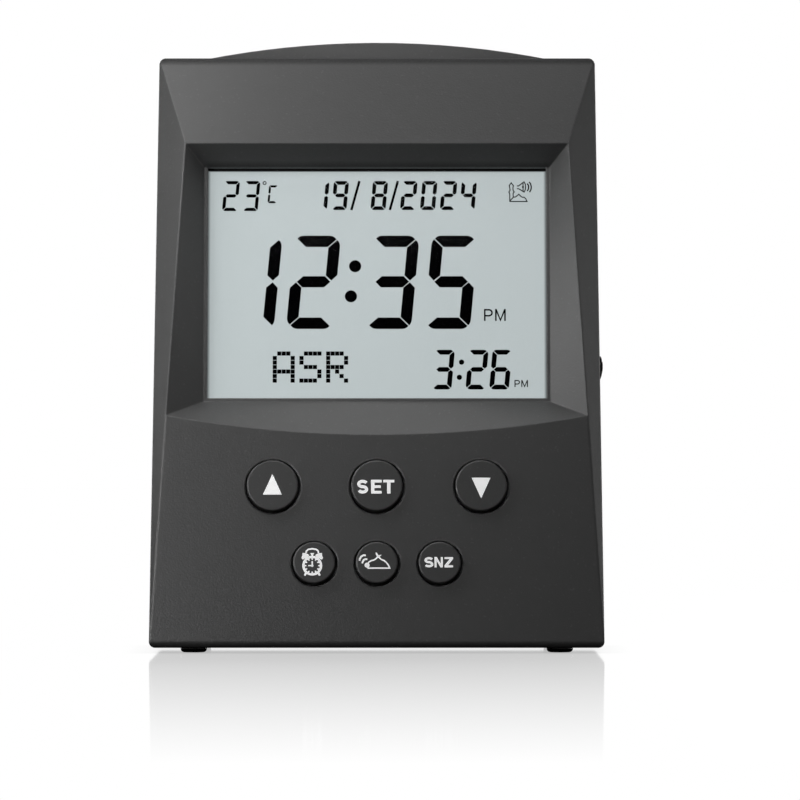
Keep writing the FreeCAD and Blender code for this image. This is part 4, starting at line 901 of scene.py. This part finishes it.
# %% Lay the marks on the glass
MARK_DEPTH = 0.03 * MM
MARKS_RAISED = 0.38 * MM
GLASS = "lcd_panel"
mark_groups = [big_row, small_row, date_row, heat_row, name_row] + [[sign] for sign in thin_signs]
marks = [flat_mesh("marks", group, MARK_DEPTH) for group in mark_groups]
marks_up = middle(GLASS, UPWARD) + MARKS_RAISED
marks_face = reach(GLASS, INWARD)[0] - MARK_DEPTH / 2
display_marks = lay_on_panel(joined("display_marks", marks), 0, marks_up, marks_face)
ride(display_marks, "case", dark_ink)
print("display marks:", len(display_marks.data.polygons), "faces")

# %% [markdown]
# # The window
# The window is a clear sheet with softly broken edges. It stands for the plain solid one, and its back
# is held a hair off the glass, because two faces in one plane would fight for the same light.

# %% The window
WINDOW_EDGE = 0.12 * MM


def soft_box(name, low, high, radius):
    """A block between two corners of the panel's frame, with rounded edges."""
    mesh = bpy.data.meshes.new(name)
    block = bmesh.new()
    bmesh.ops.create_cube(block, size=1.0)
    for vertex in block.verts:
        share = vertex.co + Vector((0.5, 0.5, 0.5))
        vertex.co = panel_place(*(low[i] + (high[i] - low[i]) * share[i] for i in range(3)))
    bmesh.ops.bevel(block, geom=list(block.edges), offset=radius, segments=3, profile=0.5, affect="EDGES")
    bmesh.ops.recalc_face_normals(block, faces=block.faces)
    block.to_mesh(mesh)
    block.free()
    piece = bpy.data.objects.new(name, mesh)
    bpy.context.scene.collection.objects.link(piece)
    return piece


limits = [reach(WINDOW, direction) for direction in (ACROSS, UPWARD, INWARD)]
window_low = [low for low, high in limits]
window_high = [high for low, high in limits]
window_high[2] -= 2 * MARK_DEPTH
window_pane = soft_box("window_pane", window_low, window_high, WINDOW_EDGE)
ride(window_pane, "case", finishes["clear_window"])
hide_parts(WINDOW)
print("the window is", round((window_high[2] - window_low[2]) / MM, 2), "mm thick")

# %% [markdown]
# # The print on the keys
# Each key carries one mark in white: a triangle to count up or down, a word, or a small picture. The
# marks are drawn around the middle of their key. A picture is made of several shapes, and an outline
# inside another one leaves a hole, as in the ring of the alarm clock.

# %% Pictures
def tick(hour):
    """A mark on the alarm clock's face, wider at its outer end."""
    out = Vector((math.sin(math.radians(30 * hour)), math.cos(math.radians(30 * hour))))
    side = Vector((out.y, -out.x))
    corners = (out * 1.52 + side * 0.2, out * 1.1 + side * 0.09,
               out * 1.1 - side * 0.09, out * 1.52 - side * 0.2)
    return [tuple(corner) for corner in corners]


def alarm_sign():
    """A round clock with two bells, a handle and two legs."""
    ticks = [tick(hour) for hour in range(12)]
    hands = [stroke([(0, 0.86), (0, 0)], 0.28), stroke([(-0.76, 0), (0, 0)], 0.26), dot(0, 0, 0.24)]
    bell = [(-1.84, 2.46), (-1.34, 2.38), (-0.84, 2.24), (-0.57, 1.97), (-0.75, 1.78), (-1.34, 1.42),
            (-1.82, 1.15), (-2.05, 1.5), (-1.86, 1.95)]
    leg = stroke([(-1.17, -1.35), (-1.42, -1.9)], 0.38)
    left_grip = [(-1.18, 2.4), (-1.12, 2.8), (-0.74, 3.12)]
    handle = stroke(left_grip + [(0, 3.23)] + mirrored(left_grip)[::-1], 0.3)
    stem = [(-0.38, 2.42), (0.38, 2.42), (0.14, 1.98), (0.14, 1.8), (-0.14, 1.8), (-0.14, 1.98)]
    ring = [dot(0, 0, 1.89, 56), dot(0, 0, 1.46, 56)]
    others = ticks + hands + [bell, mirrored(bell), leg, mirrored(leg), handle, stem]
    return [moved(shapes, -0.31, -0.46) for shapes in [ring] + [[shape] for shape in others]]


def azan_sign():
    """A low dome with a crescent on top, and waves of sound at its left."""
    roof = [(-1.71, -0.12), (-1.44, 0.25), (-1.04, 0.5), (-0.5, 0.63), (-0.08, 0.93), (0.25, 1.33),
            (0.56, 1.02), (0.89, 0.71), (1.37, 0.53), (1.85, 0.13), (2.24, -0.43), (2.46, -0.93),
            (-1.75, -0.93)]
    crescent = [(-0.23, 2.09), (-0.02, 2.06), (0.16, 1.72), (0.31, 1.55), (0.53, 1.57), (0.89, 1.68),
                (0.83, 1.48), (0.53, 1.23), (0.25, 1.05), (-0.02, 1.42), (-0.2, 1.79)]
    waves = [[(-2.73, -0.03), (-2.64, 0.31), (-2.43, 0.65), (-2.13, 0.8), (-1.77, 0.77)],
             [(-3.25, 0.5), (-3.19, 0.86), (-2.91, 1.29), (-2.49, 1.54), (-2.07, 1.51)]]
    shapes = [stroke(roof, 0.27), crescent, dot(-1.83, -0.36, 0.48)]
    shapes += [stroke(wave, 0.34) for wave in waves]
    return [[shape] for shape in shapes]


def triangle(way):
    """A narrow triangle that points up for 1 and down for -1."""
    return [[[(-1.79, -1.63 * way), (1.79, -1.63 * way), (0, 2.35 * way)]]]


print("the alarm clock has", len(alarm_sign()), "shapes and the dome", len(azan_sign()))

# %% [markdown]
# The words need heavy letters. The straight ones are one outline each, so that no two faces lie in one
# plane. The S is a line of even width along two half-ellipses that meet in the middle.

# %% Words
def s_outline(x, y, line):
    """The outline of an S that reaches x to either side and y up and down."""
    wide, bowl = x - line / 2, (y - line / 2) / 2
    upper = [(wide * math.cos(turn), bowl + bowl * math.sin(turn)) for turn in turns(22, 270, 14)]
    lower = [(wide * math.cos(turn), -bowl + bowl * math.sin(turn)) for turn in turns(90, -158, 14)]
    return stroke(upper[:-1] + lower, line)


def letter_outline(letter, width, height, stem, bar):
    """The outline of one capital letter, centred on the origin."""
    x, y = width / 2, height / 2
    if letter == "S":
        return s_outline(x, y, (stem + bar) / 2)
    if letter == "E":
        arm = 0.92 * width - x
        return [(-x, y), (x, y), (x, y - bar), (stem - x, y - bar), (stem - x, bar / 2), (arm, bar / 2),
                (arm, -bar / 2), (stem - x, -bar / 2), (stem - x, bar - y), (x, bar - y), (x, -y), (-x, -y)]
    if letter == "T":
        half = stem / 2
        return [(-x, y), (x, y), (x, y - bar), (half, y - bar), (half, -y), (-half, -y), (-half, y - bar),
                (-x, y - bar)]
    if letter == "N":
        post = 0.85 * stem
        notch = 1.1 * post
        drop = post * height / (width - post)
        return [(-x, -y), (-x, y), (notch - x, y), (x - post, drop - y), (x - post, y), (x, y), (x, -y),
                (x - notch, -y), (post - x, y - drop), (post - x, -y)]
    foot = 1.35 * stem
    return [(-x, y), (x, y), (x, y - bar), (foot - x, bar - y), (x, bar - y), (x, -y), (-x, -y),
            (-x, bar - y), (x - foot, y - bar), (-x, y - bar)]


def word(letters, places, widths, height, stem, bar, across, up):
    """A word's outlines, each letter at its own place on the key."""
    return [moved([letter_outline(letter, width, height, stem, bar)], place + across, up)
            for letter, place, width in zip(letters, places, widths)]


set_word = word("SET", (-2.48, 0.1, 2.46), (2.08, 2.0, 2.08),
                height=2.65, stem=0.64, bar=0.52, across=-0.18, up=-0.1)
snooze_word = word("SNZ", (-1.88, -0.04, 1.87), (1.7, 1.58, 1.62),
                   height=1.98, stem=0.48, bar=0.39, across=-0.13, up=0.2)
print(len(set_word + snooze_word), "letters")

# %% [markdown]
# Each print is its own thin piece that lies on its key's face, so that it moves with the key. The
# prints sit a little below the keys' middles.

# %% Print the keys
PRINT_DEPTH = 0.03 * MM
PRINT_DROP = 0.17 * MM
prints = {"key_up": triangle(1), "key_down": triangle(-1), "key_set": set_word, "key_snooze": snooze_word,
          "key_alarm": alarm_sign(), "key_azan": azan_sign()}
for key, groups in prints.items():
    print_piece = joined(key + "_print", [flat_mesh("print", group, PRINT_DEPTH) for group in groups])
    face = reach(key, INWARD)[0]
    lay_on_panel(print_piece, middle(key, ACROSS), middle(key, UPWARD) - PRINT_DROP, face - PRINT_DEPTH / 2)
    ride(print_piece, key + "_button", white_ink)
print(len(prints), "printed keys")

# %% [markdown]
# # The studio
# The clock stands on a white glossy table in front of a white wall. Both count as pure white to the
# camera. Low walls close the other sides, so that the table has something white to mirror in each view.
# The table also mirrors the clock, more weakly with the distance from it, and a soft shadow lies where
# the clock almost touches it. For light that bounces on to the clock the table is dark, so that the
# clock's underside stays dark.

# %% White for the camera
TABLE_BOUNCE = 40
WALL_BOUNCE = 120
SHADOW_REACH = 6 * MM
SHADOW_DEPTH = 0.8
SHADOW_SAMPLES = 12
MIRROR_BLUR = 0.06
MIRROR_SHARE = 0.5
MIRROR_START = 35 * MM
MIRROR_END = 430 * MM


def seen_by(network, *kinds):
    """1 for some kinds of ray, such as those from the camera."""
    return highest(*(network.node("LightPath", output=kind) for kind in kinds))


def white_for(finish, seen, white, bounce_level):
    """White for the rays that count as seen, and plain grey for bounced light."""
    bounce = finish.node("BsdfDiffuse", None, {"Color": grey(bounce_level)})
    shown = finish.node("MixShader", None, {0: seen, 1: bounce, 2: white})
    finish.link(shown, finish.tree.nodes["Material Output"].inputs["Surface"])
    return finish.material


def table_white():
    """A white table with a fading mirror image and a soft shadow under the clock."""
    finish = Finish("table_white")
    sockets = {"Distance": SHADOW_REACH}
    open_sky = finish.node("AmbientOcclusion", {"samples": SHADOW_SAMPLES}, sockets, output="AO")
    shade = finish.range(open_sky, SHADOW_DEPTH, 1.0)
    glow = finish.node("Emission", None, {"Color": shade, "Strength": 1.0})
    mirror = finish.node("BsdfGlossy", None, {"Color": grey(255), "Roughness": MIRROR_BLUR})
    far = finish.node("VectorMath", {"operation": "LENGTH"}, {0: finish.place()}, output="Value")
    share = finish.range(far, MIRROR_SHARE, 0.0, MIRROR_START, MIRROR_END) * finish.node("Fresnel")
    white = finish.node("MixShader", None, {0: share, 1: glow, 2: mirror})
    return white_for(finish, seen_by(finish, "Is Camera Ray", "Is Transmission Ray"), white, TABLE_BOUNCE)


def wall_white():
    finish = Finish("wall_white")
    glow = finish.node("Emission", None, {"Color": grey(255), "Strength": 1.0})
    seen = seen_by(finish, "Is Camera Ray", "Is Glossy Ray", "Is Transmission Ray")
    return white_for(finish, seen, glow, WALL_BOUNCE)


print("the table mirrors the clock up to", round(MIRROR_END, 2), "m away")

# %% [markdown]
# The table and its walls are plain four-cornered faces.

# %% Table and walls
ROOM_HALF = 2.5
WALL_HEIGHT = 4.0
LOW_WALL_HEIGHT = 0.25


def stage_plane(name, corners, material):
    mesh = bpy.data.meshes.new(name)
    mesh.from_pydata(corners, [], [(0, 1, 2, 3)])
    mesh.materials.append(material)
    plane = bpy.data.objects.new(name, mesh)
    bpy.context.scene.collection.objects.link(plane)
    return plane


corners = [(x * ROOM_HALF, y * ROOM_HALF) for x, y in ((-1, -1), (1, -1), (1, 1), (-1, 1))]
stage_plane("table", [(x, y, 0) for x, y in corners], table_white())
white_wall = wall_white()
for start, end in zip(corners, corners[1:] + corners[:1]):
    behind_clock = start[1] == end[1] == ROOM_HALF
    height = WALL_HEIGHT if behind_clock else LOW_WALL_HEIGHT
    stage_plane("wall", [(*start, 0), (*end, 0), (*end, height), (*start, height)], white_wall)
print("a table with", len(corners), "walls")

# %% [markdown]
# Soft lamps stand around the clock, most of them to its left. The two rakes stand high, just in
# front of the header, and skim down the leaning front: they brighten the header's left end and the right
# wall of the sunk frame. The left lamp and the low lamp shade the panel from left to right. The front
# lamp fills the frame, the ceiling lamp lights its lower wall, and the side lamp keeps the right facet
# from sinking into black. Three lamps behind the clock light its sides and its back, which the camera
# doesn't see from the front. Each lamp has a place and a side in metres, and a power in watts.

# %% Lamps
CLOCK_MIDDLE = Vector((0, 0, 0.06))
LAMPS = {
    "high_rake": ((-0.06, -0.05, 0.2), 0.04, 0.023),
    "left_rake": ((-0.1, -0.05, 0.13), 0.04, 0.055),
    "low_lamp": ((-0.14, -0.055, 0.08), 0.05, 0.028),
    "left_lamp": ((-0.14, -0.22, 0.08), 0.05, 0.205),
    "front_lamp": ((0, -0.11, 0.15), 0.05, 0.0245),
    "ceiling_lamp": ((0, -0.05, 0.4), 0.15, 0.186),
    "side_lamp": ((0.5, -0.02, 0.12), 0.25, 0.193),
    "back_lamp": ((0.3, 1.0, 0.25), 0.4, 7.0),
    "back_left_lamp": ((-0.55, 0.6, 0.15), 0.3, 2.5),
    "back_right_lamp": ((0.55, 0.6, 0.15), 0.3, 2.5),
}


def soft_lamp(name, place, side, power):
    """A square lamp that faces the clock's middle."""
    light = bpy.data.lights.new(name, "AREA")
    light.size = side
    light.energy = power
    lamp = bpy.data.objects.new(name, light)
    lamp.location = place
    lamp.rotation_euler = (CLOCK_MIDDLE - lamp.location).to_track_quat("-Z", "Y").to_euler()
    bpy.context.scene.collection.objects.link(lamp)
    return lamp


for lamp_name, (place, side, power) in LAMPS.items():
    soft_lamp(lamp_name, place, side, power)
print(len(LAMPS), "lamps")

# %% [markdown]
# The room is white to the camera, so that a look from the side or from behind has the same ground as a
# look from the front. As a light it is weak: a strength of 1 would wash out the dark plastic.

# %% Room
ROOM_LIGHT = 0.12

room = bpy.data.worlds.new("room")
room.use_nodes = True
background = room.node_tree.nodes["Background"]
background.inputs["Color"].default_value = grey(255)
room_network = Network(room.node_tree)
seen = seen_by(room_network, "Is Camera Ray", "Is Transmission Ray")
room_network.link(room_network.range(seen, ROOM_LIGHT, 1.0), background.inputs["Strength"])
bpy.context.scene.world = room
print("the room lights the clock with a strength of", ROOM_LIGHT)

# %% [markdown]
# # The camera
# It looks level at the clock from a little over a metre, a touch to the right of the middle, with a long
# lens that shows hardly any perspective.

# %% Camera
CAMERA_DISTANCE = 1.3725
CAMERA_ACROSS = 4.4 * MM
CAMERA_HEIGHT = 47.8 * MM
LENS = 322.1
SENSOR = 36.0
NEAREST = 0.05

camera_data = bpy.data.cameras.new("camera")
camera_data.lens = LENS
camera_data.sensor_width = SENSOR
camera_data.clip_start = NEAREST
camera = bpy.data.objects.new("camera", camera_data)
camera.location = (CAMERA_ACROSS, -CAMERA_DISTANCE, CAMERA_HEIGHT)
camera.rotation_euler = (math.radians(90), 0, 0)
bpy.context.scene.collection.objects.link(camera)
bpy.context.scene.camera = camera
bpy.context.scene.view_settings.view_transform = "Standard"
print("the camera sees", round(CAMERA_DISTANCE * SENSOR / LENS, 4), "m across at the clock")
